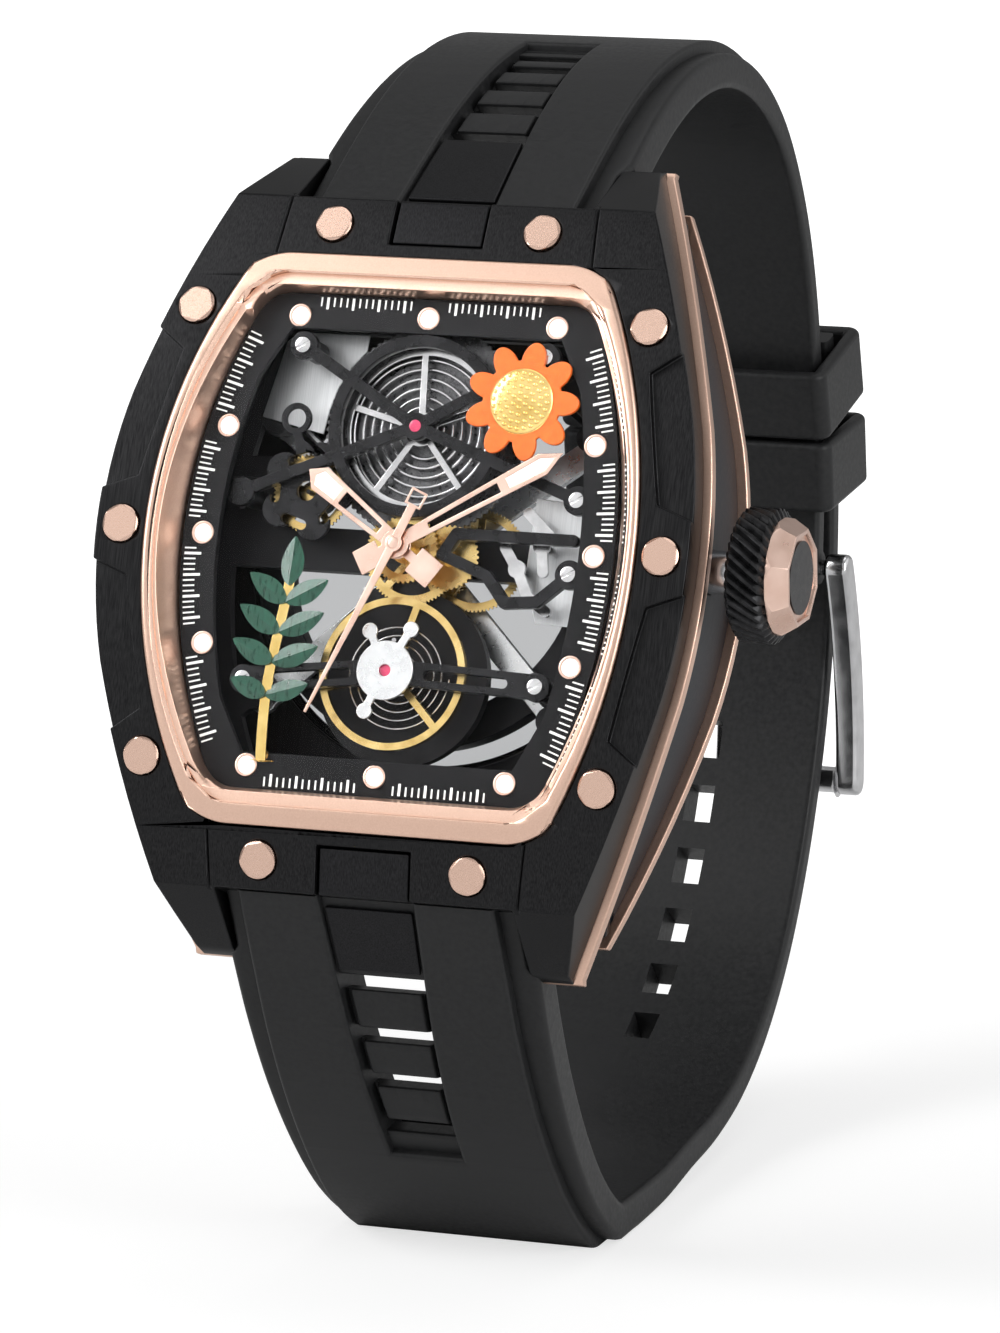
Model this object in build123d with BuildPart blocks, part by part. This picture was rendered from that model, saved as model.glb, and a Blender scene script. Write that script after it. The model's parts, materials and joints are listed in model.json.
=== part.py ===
# Tonneau skeleton watch on a buckled rubber strap, in millimetres.
# Modelled flat: X to the crown, Y to 12 o'clock, Z out of the dial, origin at the hands' axis
# on the plane of the 3 and 9 o'clock bezel screws. stand_up() then sets each piece on its strap.
from build123d import *
import math
import os

os.makedirs("parts", exist_ok=True)

# Stance: the case leans back, and the strap loop has a flat foot this far from the hands' axis
lean_deg = 19.0
foot_depth = 53.0
foot_centre = -25.0

# Case outline: half widths and heights of its corners
case_side = 21.6
waist_x, waist_y = 20.5, 9.5
shoulder_x, shoulder_y = 17.75, 18.2
lug_x, lug_y = 13.7, 27.9
lug_inner = 10.9
strap_gap_y = 24.2
strap_tuck_y = 22.3
rim_flare = 0.6
band_inset = 0.1
rim_bevel = 0.35

# Curved front: the bezel's face and its underside are arcs over the case's height
face_radius = 95.0
under_radius = 59.5
lug_front_z = -8.0
lug_tip_y = 28.3
bezel_depth = 2.4
front_rim_depth = 0.9
band_back_z = -10.6
rear_rim_depth = 1.1
rear_rim_end_y = 25.6
caseback_depth = 1.2
caseback_inset = 1.3

# Tonneau outlines of the dial opening: top, half width at the top, corner x, corner y, side
frame_outline = (19.95, 11.2, 13.2, 18.9, 17.9)
glass_outline = (18.5, 11.0, 12.75, 17.1, 17.15)
dial_outline = (17.35, 11.1, 12.4, 16.3, 15.8)
window_outline = (14.8, 9.9, 11.8, 11.2, 13.2)

# Dial furniture heights
frame_proud = 0.35
frame_bevel = 0.2
frame_edge_z = -2.8
glass_top_z = 0.85
glass_depth = 1.0
flange_back_z = -2.6
dial_radius = 122.0
chapter_top_z = -1.9
chapter_depth = 0.5
marker_radius = 0.8
marker_rim = 0.16
marker_proud = 0.1
marker_places = ((0.0, 15.9), (9.45, 15.7), (13.45, 7.6), (14.3, 0.0))

# Caseback window and screws
caseback_end_y = 24.6
back_glass_radius = 14.2
back_glass_lip = 0.5
back_screw_reach = 16.6
back_screw_turn = 22
back_screw_radius = 0.9
back_screw_depth = 0.6
back_screw_slot = 0.3
flange_mouth = (18.3, 11.0, 12.6, 16.95, 16.95)
flange_mouth_z = -0.1
flange_throat_z = -2.6
marker_sink = 0.2
screw_bevel = 0.18
screw_shank_short = 2.2
side_screw_depth = 0.7
side_screw_slot = 0.25

# Bezel screws, side pockets, notches and corner grooves
screw_radius = 1.3
screw_head = 0.95
screw_proud = 0.3
screw_shank_radius = 0.6
screw_shank = 2.6
screw_slots = 6
screw_slot_radius = 0.14
screw_places = ((19.7, 0.0), (16.6, 15.8), (7.65, 22.2))
pocket_corners = ((22.6, 2.1), (18.95, 3.5), (17.1, 12.6), (20.2, 14.9))
pocket_depth = 0.55
notch_half = 3.45
notch_y = 20.9
notch_depth = 1.1
groove_width = 0.16
groove_depth = 0.2
groove_ends = ((11.6, 19.9), (11.2, 24.9))

# Strap bars and their side screws
bar_y, bar_z = 24.0, -9.6
bar_radius = 0.75
side_screw_radius = 0.85
bar_end_x = 15.45

# Strap: outer profile of each half as points down from the case (height, depth)
strap_low_path = ((24.3, -3.7), (28.6, -7.7), (33.0, -12.0), (37.2, -17.0), (40.9, -22.7), (43.5, -28.3),
                  (44.8, -34.1), (43.8, -37.9), (42.4, -41.8), (40.6, -46.2), (38.1, -51.2), (35.3, -57.0),
                  (31.4, -62.8), (26.2, -67.7), (20.0, -71.3), (13.0, -73.6), (5.6, -74.7), (-1.7, -74.7),
                  (-9.0, -73.6), (-16.0, -71.4), (-22.6, -68.3), (-28.6, -64.3))
strap_up_path = ((24.3, -3.7), (28.7, -7.6), (33.0, -11.8), (36.9, -16.6), (40.0, -21.9), (42.1, -27.7),
                 (42.9, -33.7), (42.5, -39.6), (40.8, -45.6), (37.7, -51.2), (33.6, -56.1), (28.4, -60.4),
                 (22.7, -63.9), (16.9, -66.7), (11.5, -68.6))
strap_head_thick = 4.3
strap_tail_thick = 2.8
strap_head_half = 11.7
strap_tail_half = 9.0
strap_tail_depth = 74.5
lane_half = 9.4
lane_height = 0.9
channel_depth = 0.6
channel_half = 3.6
channel_narrow_half = 2.4
channel_narrow_y = 45.5
channel_low_share = 0.177
channel_up_share = 0.285
rung_thick = 1.5
slot_length = 1.2
slot_lean = 30.0
slot_low_shares = (0.053, 0.0873, 0.1195, 0.1547)
slot_up_shares = (0.0965, 0.142, 0.183, 0.222, 0.253)
ladder_margin_share = 0.01
hole_half = 1.1
hole_length = 2.9
hole_low_last_share = 0.831
hole_share_pitch = 0.04
hole_count = 8
hole_low_shares = [hole_low_last_share - hole_share_pitch * step for step in range(hole_count)]
strap_clear = 0.12
strap_thin_share = 0.6
strap_samples = 40
strap_samples_least = 6
head_back_y = 27.2
tongue_gap_side = 0.3
link_start_share = 0.008
keeper_depth = 7.2
keeper_side = 0.35
tongue_bend = 0.5
tongue_eye_radius = 1.1
head_shelf_z = -8.1
head_back_z = -11.4
link_half = 3.3
link_gap = 0.25
link_step = 0.25
link_low_share = 0.0465
link_up_share = 0.09

# Buckle: pin, frame and tongue at the back of the loop (height, depth)
pin_y, pin_z = 10.6, -67.6
pin_radius = 0.6
strap_eye_radius = 1.3
arm_inner = 9.6
arm_outer = 11.4
arm_thick = 2.2
arm_bow = 0.9
outer_bar_y, outer_bar_z = -4.6, -76.15
outer_bar_thick = 2.0
tongue_half = 0.9
tongue_thick = 0.9
tongue_path = ((pin_y, pin_z), (8.4, -70.0), (7.3, -74.8), (-5.3, -77.92))
running_gap = 0.05

# Keepers round both strap layers (height, depth, tilt is worked out from the strap)
keeper_length = 5.4
keeper_wall = 1.1
keeper_gap = 0.35
keeper_fixed_share = 0.9265
keeper_loose_share = 0.9775

# Movement levels, from the dial side to the rotor
bridge_top_z = -2.75
bridge_depth = 0.7
hour_wheel_z = -3.6
minute_work_z = -4.05
balance_z = -3.9
hairspring_z = -5.0
barrel_top_z = -3.95
barrel_teeth_z = -5.0
centre_wheel_z = -5.5
plate_top_z = -6.0
plate_depth = 0.8
third_wheel_z = -7.0
fourth_wheel_z = -7.5
rear_bridge_top_z = -8.3
rear_bridge_depth = 0.6
rotor_top_z = -9.3
rotor_plate_depth = 0.5
rotor_weight_depth = 1.7
wheel_depth = 0.16
pinion_depth = 0.24
arbor_radius = 0.16
pivot_gap = 0.03

# Movement centres and radii
barrel_y = 8.4
barrel_radius = 6.05
barrel_wall = 0.3
barrel_teeth_radius = 7.36
centre_pinion_radius = 0.99
centre_wheel_radius = 3.6
third_x, third_y = 4.08, 0.0
third_wheel_radius = 3.57
third_pinion_radius = 0.45
fourth_pinion_radius = 0.48
fourth_wheel_radius = 3.6
escape_x, escape_y = -2.2, -3.4
escape_radius = 2.1
escape_pinion_radius = 0.41
fork_x, fork_y = -0.95, -6.0
balance_x, balance_y = 0.0, -8.6
balance_radius = 5.3
balance_rim = 0.5
cannon_radius = 0.73
minute_work_x, minute_work_y = 3.03, -0.35
minute_wheel_radius = 2.25
minute_pinion_radius = 0.6
hour_wheel_radius = 2.4
tooth_height = 0.14
wheel_rim = 0.5
wheel_hub = 0.7
centre_rim = 0.55
hour_hub_wall = 0.3
reduction_hub = 0.8
escape_rim = 0.3
escape_hub = 0.6
escape_tooth = 0.4
escape_leaf = 0.1
barrel_teeth, centre_teeth, third_teeth, fourth_teeth = 90, 80, 75, 72
centre_leaves, third_leaves, fourth_leaves, escape_leaves = 12, 10, 10, 8
escape_teeth = 20
minute_teeth, hour_teeth, cannon_leaves, minute_leaves = 36, 40, 12, 10

# Bridges, plates and small movement parts
plate_rim = 1.1
plate_arm = 3.0
rim_top_z = -4.1
plate_lip = 0.25
plate_boss = 1.1
barrel_boss = 2.4
balance_seat = 6.2
balance_bore = 0.75
centre_bore = 0.6
post_radius = 0.75
post_arm_share = 1.2
left_arm_share = 1.4
movement_ring_depth = 6.0
bridge_arm = 0.8
bridge_screw_radius = 0.3
bridge_screw_head = 0.55
bridge_screw_rise = 0.2
bridge_screw_slot = 0.16
bridge_screw_turn = 30
hub_radius = 0.95
barrel_ring_radius = 6.35
jewel_radius = 0.42
jewel_proud = 0.05
jewel_sink = 0.35
left_bridge_z = -3.5
left_bridge_depth = 0.35
flower_x, flower_y = -7.7, 3.6
left_posts = ((-10.29, 5.48), (-10.29, 1.72))
left_post_radius = 0.25
reduction_radius = 2.8
reduction_teeth = 56
reduction_z = -4.5
lobe_count = 5
lobe_reach = 2.3
lobe_radius = 1.25
kidney_length, kidney_width = 1.3, 0.7
eyelet_x, eyelet_y = -9.1, 8.6
eyelet_radius = 1.1
right_bar_x, right_bar_y = 3.9, 1.15
right_curve = ((12.4, -1.2), (10.2, -3.2), (7.9, -3.4), (6.4, -1.6), (3.03, -0.35), (3.9, 1.15))
balance_bar = 1.7
balance_slot = 0.7
balance_slot_shares = (0.28, 0.78)
regulator_radius = 2.05
regulator_depth = 0.3
regulator_arm_width = 0.55
regulator_arms = ((62, 3.3), (118, 3.0), (248, 3.1))
rear_arm = 1.8
rear_hub = 2.2
rotor_post_radius = 0.8
rotor_post_extra = 0.2
rotor_radius = 13.0
rotor_rim = 2.4
rotor_hub = 2.6
rotor_spoke = 1.1
rotor_lift = 0.55
barrel_teeth_depth = 0.3
barrel_cover_depth = 0.2
barrel_cover_rim = 0.9
barrel_core_radius = 1.2
barrel_spokes = 5
barrel_spoke_share = 0.3
mainspring_inner, mainspring_outer = 1.45, 5.45
mainspring_turns = 6
mainspring_wire = 0.11

# Hands
hour_tube_radius = 0.72
minute_tube_radius = 0.46
seconds_arbor_radius = 0.17
tube_wall = 0.2
hand_depth = 0.15
hour_hand_z = -2.15
minute_hand_z = -1.7
seconds_hand_z = -1.35
hand_wall = 0.34
blade_root_share = 0.6
hand_hub_radius = 1.0
tip_share = 0.12
open_start_share, open_end_share = 0.2, 0.62
lume_start_share = 0.67
lume_depth = 0.1
hour_tail, minute_tail, tail_neck = 2.6, 2.1, 0.7
hour_tail_half, minute_tail_half = 1.0, 0.9
seconds_hub = 0.62
seconds_tail = 3.4
seconds_tail_box = 1.22
seconds_cap = 0.4
hour_length, hour_half, hour_angle = 8.6, 0.95, 55.5
minute_length, minute_half, minute_angle = 13.3, 0.8, -58.8
seconds_length, seconds_half, seconds_angle = 13.0, 0.32, 157.5

# Crown and stem
stem_z = -5.4
crown_radius = 4.6
crown_start_x = 23.8
crown_length = 2.8
collar_radius = 4.0
collar_length = 1.5
cap_radius = 2.95
cap_sink = 0.1
crown_grips = 36
crown_grip_depth = 0.3
tube_radius = 1.5
tube_start_x = 17.0
tube_end_x = 25.4
stem_radius = 0.5
stem_end_x = 13.5
stem_gap = 0.1
crown_bore_radius = 2.1
crown_bore_end_x = 25.65
collar_bevel = 0.75

# Keyless levers
levers_z = -4.3
levers_depth = 0.3
lever_width = 0.75
lever_routes = (((8.4, 3.1), (10.1, 1.6), (9.6, 0.9), (9.9, -0.9)),
                ((7.0, 0.6), (8.0, -0.8), (9.0, -2.7), (10.4, -3.6)))
lever_studs = ((9.6, 0.9), (8.0, -0.8))
lever_hub = 0.62

# Escapement
roller_radius = 0.42
roller_z = -7.0
roller_depth = 0.2
fork_lever = 2.08
fork_arm = 1.1
fork_arm_turn = 50.0
fork_width = 0.2
balance_hub = 0.7
balance_depth = 0.5
balance_spokes = 3
balance_spoke_turn = 75
balance_spoke = 0.5
hairspring_inner, hairspring_outer = 0.9, 3.8
hairspring_turns = 5
hairspring_wire = 0.07

# Ornaments
petal_x, petal_y = 7.75, 10.4
petal_z, petal_depth = -2.15, 0.35
petal_count = 9
petal_reach, petal_long, petal_wide = 2.85, 1.3, 0.85
petal_stud_x, petal_stud_y, petal_stud_radius = 7.4, 12.7, 0.4
dome_radius = 2.3
dome_height = 0.3
leaf_z, leaf_depth = -2.3, 0.2
leaf_joint_x, leaf_joint_y, leaf_joint_radius = -7.7, -3.2, 1.0
leaves = ((-7.7, -3.2, 168, 5.0, 1.9), (-7.7, -3.2, 128, 4.0, 1.7), (-7.7, -3.2, 88, 3.8, 1.7),
          (-7.7, -3.2, 48, 4.4, 1.8), (-7.7, -3.2, 12, 4.6, 1.9), (-7.7, -3.2, -24, 4.6, 1.9),
          (-8.3, -7.4, 198, 3.7, 1.5), (-8.3, -7.4, -20, 3.8, 1.6), (-8.5, -11.0, 205, 3.0, 1.3),
          (-8.5, -11.0, -28, 3.2, 1.4))
stem_top_z, stem_depth = -2.5, 0.2
stem_route = ((-7.7, -2.6), (-8.1, -6.2), (-8.5, -10.0), (-8.3, -15.4))
stem_top_half, stem_foot_half = 0.45, 0.95

# General clearances
overrun = 1.0
fit_gap = 0.03


def stand_up(shape):
    """A flat-modelled shape, turned and moved to stand on the foot of its strap."""
    return Location((0, foot_centre, foot_depth), (90 - lean_deg, 0, 0)) * shape


def finish(builder, name):
    """Stand a finished piece up, label it and write its file."""
    piece = stand_up(builder.part)
    piece.label = name
    export_step(piece, f"parts/{name}.step")
    print(f"{name}: {len(builder.part.solids())} solids, {builder.part.volume:.3f} mm3")


def arc_z(y, crown_z, radius):
    """Depth of an arc that crowns at crown_z over the middle of the case."""
    return crown_z - (radius - math.sqrt(radius * radius - y * y))


def mirrored(places):
    """The places in all four quarters of the dial, each once."""
    signs = [(1, 1), (-1, 1), (1, -1), (-1, -1)]
    return list(dict.fromkeys((sx * x + 0.0, sy * y + 0.0) for x, y in places for sx, sy in signs))


def tonneau(z, outline, grow=0.0):
    """A tonneau outline at height z, grown outward by grow."""
    top, top_half, corner_x, corner_y, side = outline
    x1, y1 = top_half + grow / 2, top + grow
    x2, y2 = corner_x + grow, corner_y + grow / 2
    with BuildSketch(Plane.XY.offset(z)) as plan:
        with BuildLine():
            Polyline((-x2, y2), (-x1, y1), (x1, y1), (x2, y2))
            ThreePointArc((x2, y2), (side + grow, 0), (x2, -y2))
            Polyline((x2, -y2), (x1, -y1), (-x1, -y1), (-x2, -y2))
            ThreePointArc((-x2, -y2), (-side - grow, 0), (-x2, y2))
        make_face()
    return plan.sketch


def case_plan(z, grow=0.0):
    """The case's plan outline at height z, grown sideways by grow."""
    with BuildSketch(Plane.XY.offset(z)) as plan:
        with BuildLine():
            for side in (1, -1):
                waist = (side * (waist_x + grow), waist_y)
                waist_low = (waist[0], -waist_y)
                ThreePointArc(waist_low, (side * (case_side + grow), 0), waist)
                for up in (1, -1):
                    lug = (side * (lug_x + grow), up * lug_y)
                    shoulder = (side * (shoulder_x + grow), up * shoulder_y)
                    ThreePointArc((waist[0], up * waist_y), shoulder, lug)
                    Line(lug, (lug[0], up * lug_tip_y))
            for up in (1, -1):
                Line((-lug_x - grow, up * lug_tip_y), (lug_x + grow, up * lug_tip_y))
        make_face()
    return plan.sketch


def arc_slab(top_z, bottom_z, top_radius, bottom_radius, reach, x=0.0):
    """The side view, on the plane at x, of a slab between two arcs."""
    top_end = arc_z(reach, top_z, top_radius)
    bottom_end = arc_z(reach, bottom_z, bottom_radius)
    with BuildSketch(Plane.YZ.offset(x)) as view:
        with BuildLine():
            ThreePointArc((-reach, top_end), (0, top_z), (reach, top_end))
            Line((reach, top_end), (reach, bottom_end))
            ThreePointArc((reach, bottom_end), (0, bottom_z), (-reach, bottom_end))
            Line((-reach, bottom_end), (-reach, top_end))
        make_face()
    return view.sketch


def discs(z, radius, places):
    """Round faces of one radius at height z."""
    with BuildSketch(Plane.XY.offset(z)) as plan:
        with Locations(*places):
            Circle(radius)
    return plan.sketch


def rod(radius, low_z, high_z, places=((0, 0),), mode=Mode.ADD):
    """Round rods along Z in the part that is open."""
    extrude(discs(low_z, radius, places), amount=high_z - low_z, mode=mode)


def cross_rod(radius, start_x, end_x, y, z, mode=Mode.ADD):
    """A round rod along X in the part that is open."""
    with BuildSketch(Plane.YZ.offset(start_x)) as end:
        with Locations((y, z)):
            Circle(radius)
    extrude(end.sketch, amount=end_x - start_x, mode=mode)


def strap_bay(low_z, high_z, start_y):
    """Cut the bays between the lugs that take the strap's heads."""
    with BuildSketch(Plane.XY.offset(low_z)) as bays:
        for up in (1, -1):
            with Locations((0, up * (start_y + lug_tip_y / 2))):
                Rectangle(2 * lug_inner, lug_tip_y)
    extrude(bays.sketch, amount=high_z - low_z, mode=Mode.SUBTRACT)


def strip(x1, y1, x2, y2, width, mode=Mode.ADD):
    """A round-ended strip in the sketch that is open."""
    length = math.hypot(x2 - x1, y2 - y1)
    turn = math.degrees(math.atan2(y2 - y1, x2 - x1))
    with Locations(((x1 + x2) / 2, (y1 + y2) / 2)):
        SlotCenterToCenter(length, width, rotation=turn, mode=mode)


def gear_points(radius, teeth, height):
    """Corners of a gear's outline whose teeth reach radius."""
    pitch = 2 * math.pi / teeth
    shares = ((0.0, 0), (0.22, 1), (0.5, 1), (0.72, 0))
    points = []
    for step in range(teeth):
        for share, out in shares:
            reach = radius - height * (1 - out)
            turn = (step + share) * pitch
            points.append((reach * math.cos(turn), reach * math.sin(turn)))
    return points


def gear(z, depth, radius, teeth, x=0.0, y=0.0, height=tooth_height, rim=0.0, spokes=0, hub=0.0):
    """A gear with its top face at z, spoked if it has a rim, in the part that is open."""
    with BuildSketch(Plane.XY.offset(z - depth)) as face:
        with BuildLine():
            Polyline([(x + px, y + py) for px, py in gear_points(radius, teeth, height)], close=True)
        make_face()
        if rim:
            with Locations((x, y)):
                Circle(radius - height - rim, mode=Mode.SUBTRACT)
                Circle(hub)
            for step in range(spokes):
                turn = 2 * math.pi * (step + 0.25) / spokes
                reach = radius - height - rim / 2
                strip(x, y, x + reach * math.cos(turn), y + reach * math.sin(turn), rim)
    extrude(face.sketch, amount=depth)


def spiral(z, inner, outer, turns, wire_radius, x=0.0, y=0.0):
    """A flat coil of round wire, wound from half circles, in the part that is open."""
    steps = 2 * turns
    pitch = (outer - inner) / turns
    with BuildLine(Plane.XY.offset(z)) as path:
        for step in range(steps):
            side = 1 if step % 2 == 0 else -1
            start = side * (inner + pitch * step / 2)
            end = -side * (inner + pitch * (step + 1) / 2)
            middle = ((start + end) / 2, side * (abs(start) + abs(end)) / 2)
            ThreePointArc((x + start, y), (x + middle[0], y + middle[1]), (x + end, y))
    with BuildSketch(Plane(origin=path.line @ 0, z_dir=path.line % 0)) as section:
        Circle(wire_radius)
    sweep(section.sketch, path=path.line)


# Bezel, with its strap bays, screw seats, side pockets, notches and corner grooves
case_deep_z = arc_z(lug_tip_y, -bezel_depth, under_radius)
all_screws = mirrored(screw_places)
cut_top = overrun - case_deep_z

with BuildPart() as bezel_plate:
    gap_face_z = arc_z(strap_gap_y, 0, face_radius)
    with BuildSketch(Plane.YZ):
        with BuildLine():
            ThreePointArc((-strap_gap_y, gap_face_z), (0, 0), (strap_gap_y, gap_face_z))
            Polyline((strap_gap_y, gap_face_z), (lug_y, lug_front_z), (lug_tip_y, case_deep_z))
            ThreePointArc((lug_tip_y, case_deep_z), (0, -bezel_depth), (-lug_tip_y, case_deep_z))
            Polyline((-lug_tip_y, case_deep_z), (-lug_y, lug_front_z), (-strap_gap_y, gap_face_z))
        make_face()
    extrude(amount=case_side + overrun, both=True)
    extrude(case_plan(case_deep_z), amount=cut_top, mode=Mode.INTERSECT)
    extrude(tonneau(case_deep_z, frame_outline, fit_gap), amount=cut_top, mode=Mode.SUBTRACT)
    strap_bay(case_deep_z, overrun, strap_gap_y)
    rod(screw_shank_radius + fit_gap, case_deep_z, overrun, all_screws, Mode.SUBTRACT)
    for x, y in all_screws:
        seat_z = arc_z(y, 0, face_radius) - screw_head + screw_proud
        rod(screw_radius + fit_gap, seat_z, overrun, ((x, y),), Mode.SUBTRACT)

    def face_cut(depth, plan_sketch):
        """Cut a plan shape into the curved face to an even depth."""
        slab = arc_slab(overrun, -depth, face_radius, face_radius, strap_gap_y + overrun)
        block = extrude(slab, amount=case_side + overrun, both=True, mode=Mode.PRIVATE)
        column = extrude(plan_sketch, amount=cut_top, mode=Mode.PRIVATE)
        add(column & block, mode=Mode.SUBTRACT)

    with BuildSketch(Plane.XY.offset(case_deep_z), mode=Mode.PRIVATE) as pockets:
        for sx, sy in ((1, 1), (-1, 1), (1, -1), (-1, -1)):
            with BuildLine():
                Polyline([(sx * x, sy * y) for x, y in pocket_corners], close=True)
            make_face()
    face_cut(pocket_depth, pockets.sketch)
    with BuildSketch(Plane.XY.offset(case_deep_z), mode=Mode.PRIVATE) as notches:
        for up in (1, -1):
            with Locations((0, up * (notch_y + lug_y) / 2)):
                Rectangle(2 * notch_half, lug_y - notch_y)
    face_cut(notch_depth, notches.sketch)
    with BuildSketch(Plane.XY.offset(case_deep_z), mode=Mode.PRIVATE) as grooves:
        for sx, sy in ((1, 1), (-1, 1), (1, -1), (-1, -1)):
            (ax, ay), (bx, by) = groove_ends
            strip(sx * ax, sy * ay, sx * bx, sy * by, groove_width)
    face_cut(groove_depth, grooves.sketch)

# Rose rim under the bezel
front_rim_back = bezel_depth + front_rim_depth
rim_deep_z = arc_z(lug_tip_y, -front_rim_back, under_radius)
with BuildPart() as front_rose_rim:
    extrude(arc_slab(-bezel_depth, -front_rim_back, under_radius, under_radius, lug_tip_y),
            amount=case_side + overrun, both=True)
    extrude(case_plan(rim_deep_z, rim_flare), amount=overrun - rim_deep_z, mode=Mode.INTERSECT)
    extrude(tonneau(rim_deep_z, frame_outline, fit_gap), amount=overrun - rim_deep_z, mode=Mode.SUBTRACT)
    strap_bay(rim_deep_z, 0, strap_tuck_y)
    rod(screw_shank_radius + fit_gap, rim_deep_z, 0, all_screws, Mode.SUBTRACT)

# Case band, with its bores for the strap bars and the crown tube
with BuildPart() as case_band:
    rim_back_z = arc_z(lug_y, -front_rim_back, under_radius)
    with BuildSketch(Plane.YZ):
        with BuildLine():
            ThreePointArc((-lug_y, rim_back_z), (0, -front_rim_back), (lug_y, rim_back_z))
            Polyline((lug_y, rim_back_z), (rear_rim_end_y, band_back_z),
                     (-rear_rim_end_y, band_back_z), (-lug_y, rim_back_z))
        make_face()
    extrude(amount=case_side + overrun, both=True)
    extrude(case_plan(band_back_z, -band_inset), amount=-band_back_z, mode=Mode.INTERSECT)
    extrude(tonneau(band_back_z, frame_outline, -overrun), amount=-band_back_z, mode=Mode.SUBTRACT)
    strap_bay(band_back_z, 0, strap_tuck_y)
    rod(screw_shank_radius + fit_gap, -front_rim_back - screw_shank - overrun, 0, all_screws, Mode.SUBTRACT)
    for up in (1, -1):
        cross_rod(bar_radius + fit_gap, -case_side, case_side, up * bar_y, bar_z, Mode.SUBTRACT)
        for side in (1, -1):
            cross_rod(side_screw_radius + fit_gap, side * (bar_end_x - overrun), side * case_side,
                      up * bar_y, bar_z, Mode.SUBTRACT)
    cross_rod(tube_radius + fit_gap, lug_inner, case_side + overrun, 0, stem_z, Mode.SUBTRACT)

# Rose rim at the rear
rear_rim_back_z = band_back_z - rear_rim_depth
with BuildPart() as rear_rose_rim:
    with BuildSketch(Plane.XY.offset(rear_rim_back_z)):
        add(case_plan(0, rim_flare))
        Rectangle(4 * case_side, 2 * rear_rim_end_y, mode=Mode.INTERSECT)
    extrude(amount=rear_rim_depth)
    chamfer(faces().sort_by(Axis.Z)[0].edges(), rim_bevel)
    extrude(tonneau(rear_rim_back_z, frame_outline, -overrun), amount=rear_rim_depth, mode=Mode.SUBTRACT)
    strap_bay(rear_rim_back_z, band_back_z, strap_tuck_y)

# Caseback frame, its glass and its screws
caseback_top_z = rear_rim_back_z
caseback_low_z = caseback_top_z - caseback_depth
back_turns = [math.radians(turn) for turn in range(back_screw_turn, 360, 45)]
back_screws = [(back_screw_reach * math.cos(turn), back_screw_reach * math.sin(turn)) for turn in back_turns]
with BuildPart() as caseback_frame:
    with BuildSketch(Plane.XY.offset(caseback_low_z)):
        add(case_plan(0, -caseback_inset))
        Rectangle(4 * case_side, 2 * caseback_end_y, mode=Mode.INTERSECT)
    extrude(amount=caseback_depth)
    chamfer(faces().sort_by(Axis.Z)[0].edges(), rim_bevel)
    rod(back_glass_radius - back_glass_lip, caseback_low_z, caseback_top_z, mode=Mode.SUBTRACT)
    rod(back_glass_radius + fit_gap, caseback_low_z + back_glass_lip, caseback_top_z, mode=Mode.SUBTRACT)
    rod(back_screw_radius + fit_gap, caseback_low_z, caseback_low_z + back_screw_depth, back_screws,
        Mode.SUBTRACT)

with BuildPart() as caseback_glass:
    rod(back_glass_radius, caseback_low_z + back_glass_lip, caseback_top_z - fit_gap)

with BuildPart() as caseback_screws:
    rod(back_screw_radius, caseback_low_z + fit_gap, caseback_low_z + back_screw_depth, back_screws)
    with BuildSketch(Plane.XY.offset(caseback_low_z + fit_gap)) as slots:
        with Locations(*back_screws):
            Rectangle(2 * back_screw_radius, back_screw_slot)
    extrude(slots.sketch, amount=back_screw_depth / 3, mode=Mode.SUBTRACT)

# Rose frame round the crystal
ledge_z = glass_top_z - glass_depth
with BuildPart() as dial_frame:
    deep_z = arc_z(lug_tip_y, -front_rim_back, face_radius)
    extrude(arc_slab(frame_proud, -front_rim_back, face_radius, face_radius, lug_tip_y),
            amount=case_side, both=True)
    extrude(tonneau(deep_z, frame_outline), amount=overrun - deep_z, mode=Mode.INTERSECT)
    extrude(tonneau(deep_z, glass_outline, fit_gap), amount=overrun - deep_z, mode=Mode.SUBTRACT)
    chamfer(edges().filter_by(lambda edge: edge.center().Z > frame_edge_z).group_by(Axis.Z)[-1], frame_bevel)

# Crystal
with BuildPart() as crystal:
    extrude(arc_slab(glass_top_z, ledge_z, face_radius, face_radius, lug_tip_y), amount=case_side, both=True)
    extrude(tonneau(deep_z, glass_outline), amount=2 * overrun - deep_z, mode=Mode.INTERSECT)

# Rose inner ring, sloping from under the crystal down to the chapter ring
with BuildPart() as inner_ring:
    ring_slab = arc_slab(ledge_z, flange_back_z, face_radius, dial_radius, lug_tip_y)
    extrude(ring_slab, amount=case_side, both=True)
    extrude(tonneau(deep_z, glass_outline, fit_gap), amount=2 * overrun - deep_z, mode=Mode.INTERSECT)
    loft([tonneau(flange_throat_z, dial_outline).face(), tonneau(flange_mouth_z, flange_mouth).face()],
         mode=Mode.SUBTRACT)
    extrude(tonneau(deep_z, dial_outline), amount=flange_throat_z - deep_z, mode=Mode.SUBTRACT)

# Chapter ring and the twelve markers
with BuildPart() as chapter_ring:
    chapter_deep_z = arc_z(lug_tip_y, chapter_top_z - chapter_depth, dial_radius)
    extrude(arc_slab(chapter_top_z, chapter_top_z - chapter_depth, dial_radius, dial_radius, lug_tip_y),
            amount=case_side, both=True)
    extrude(tonneau(chapter_deep_z, dial_outline, -fit_gap), amount=-chapter_deep_z, mode=Mode.INTERSECT)
    extrude(tonneau(chapter_deep_z, window_outline), amount=-chapter_deep_z, mode=Mode.SUBTRACT)
    for x, y in mirrored(marker_places):
        seat_z = arc_z(y, chapter_top_z, dial_radius)
        rod(marker_radius, seat_z - marker_sink, seat_z + marker_proud, ((x, y),), Mode.SUBTRACT)

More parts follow.
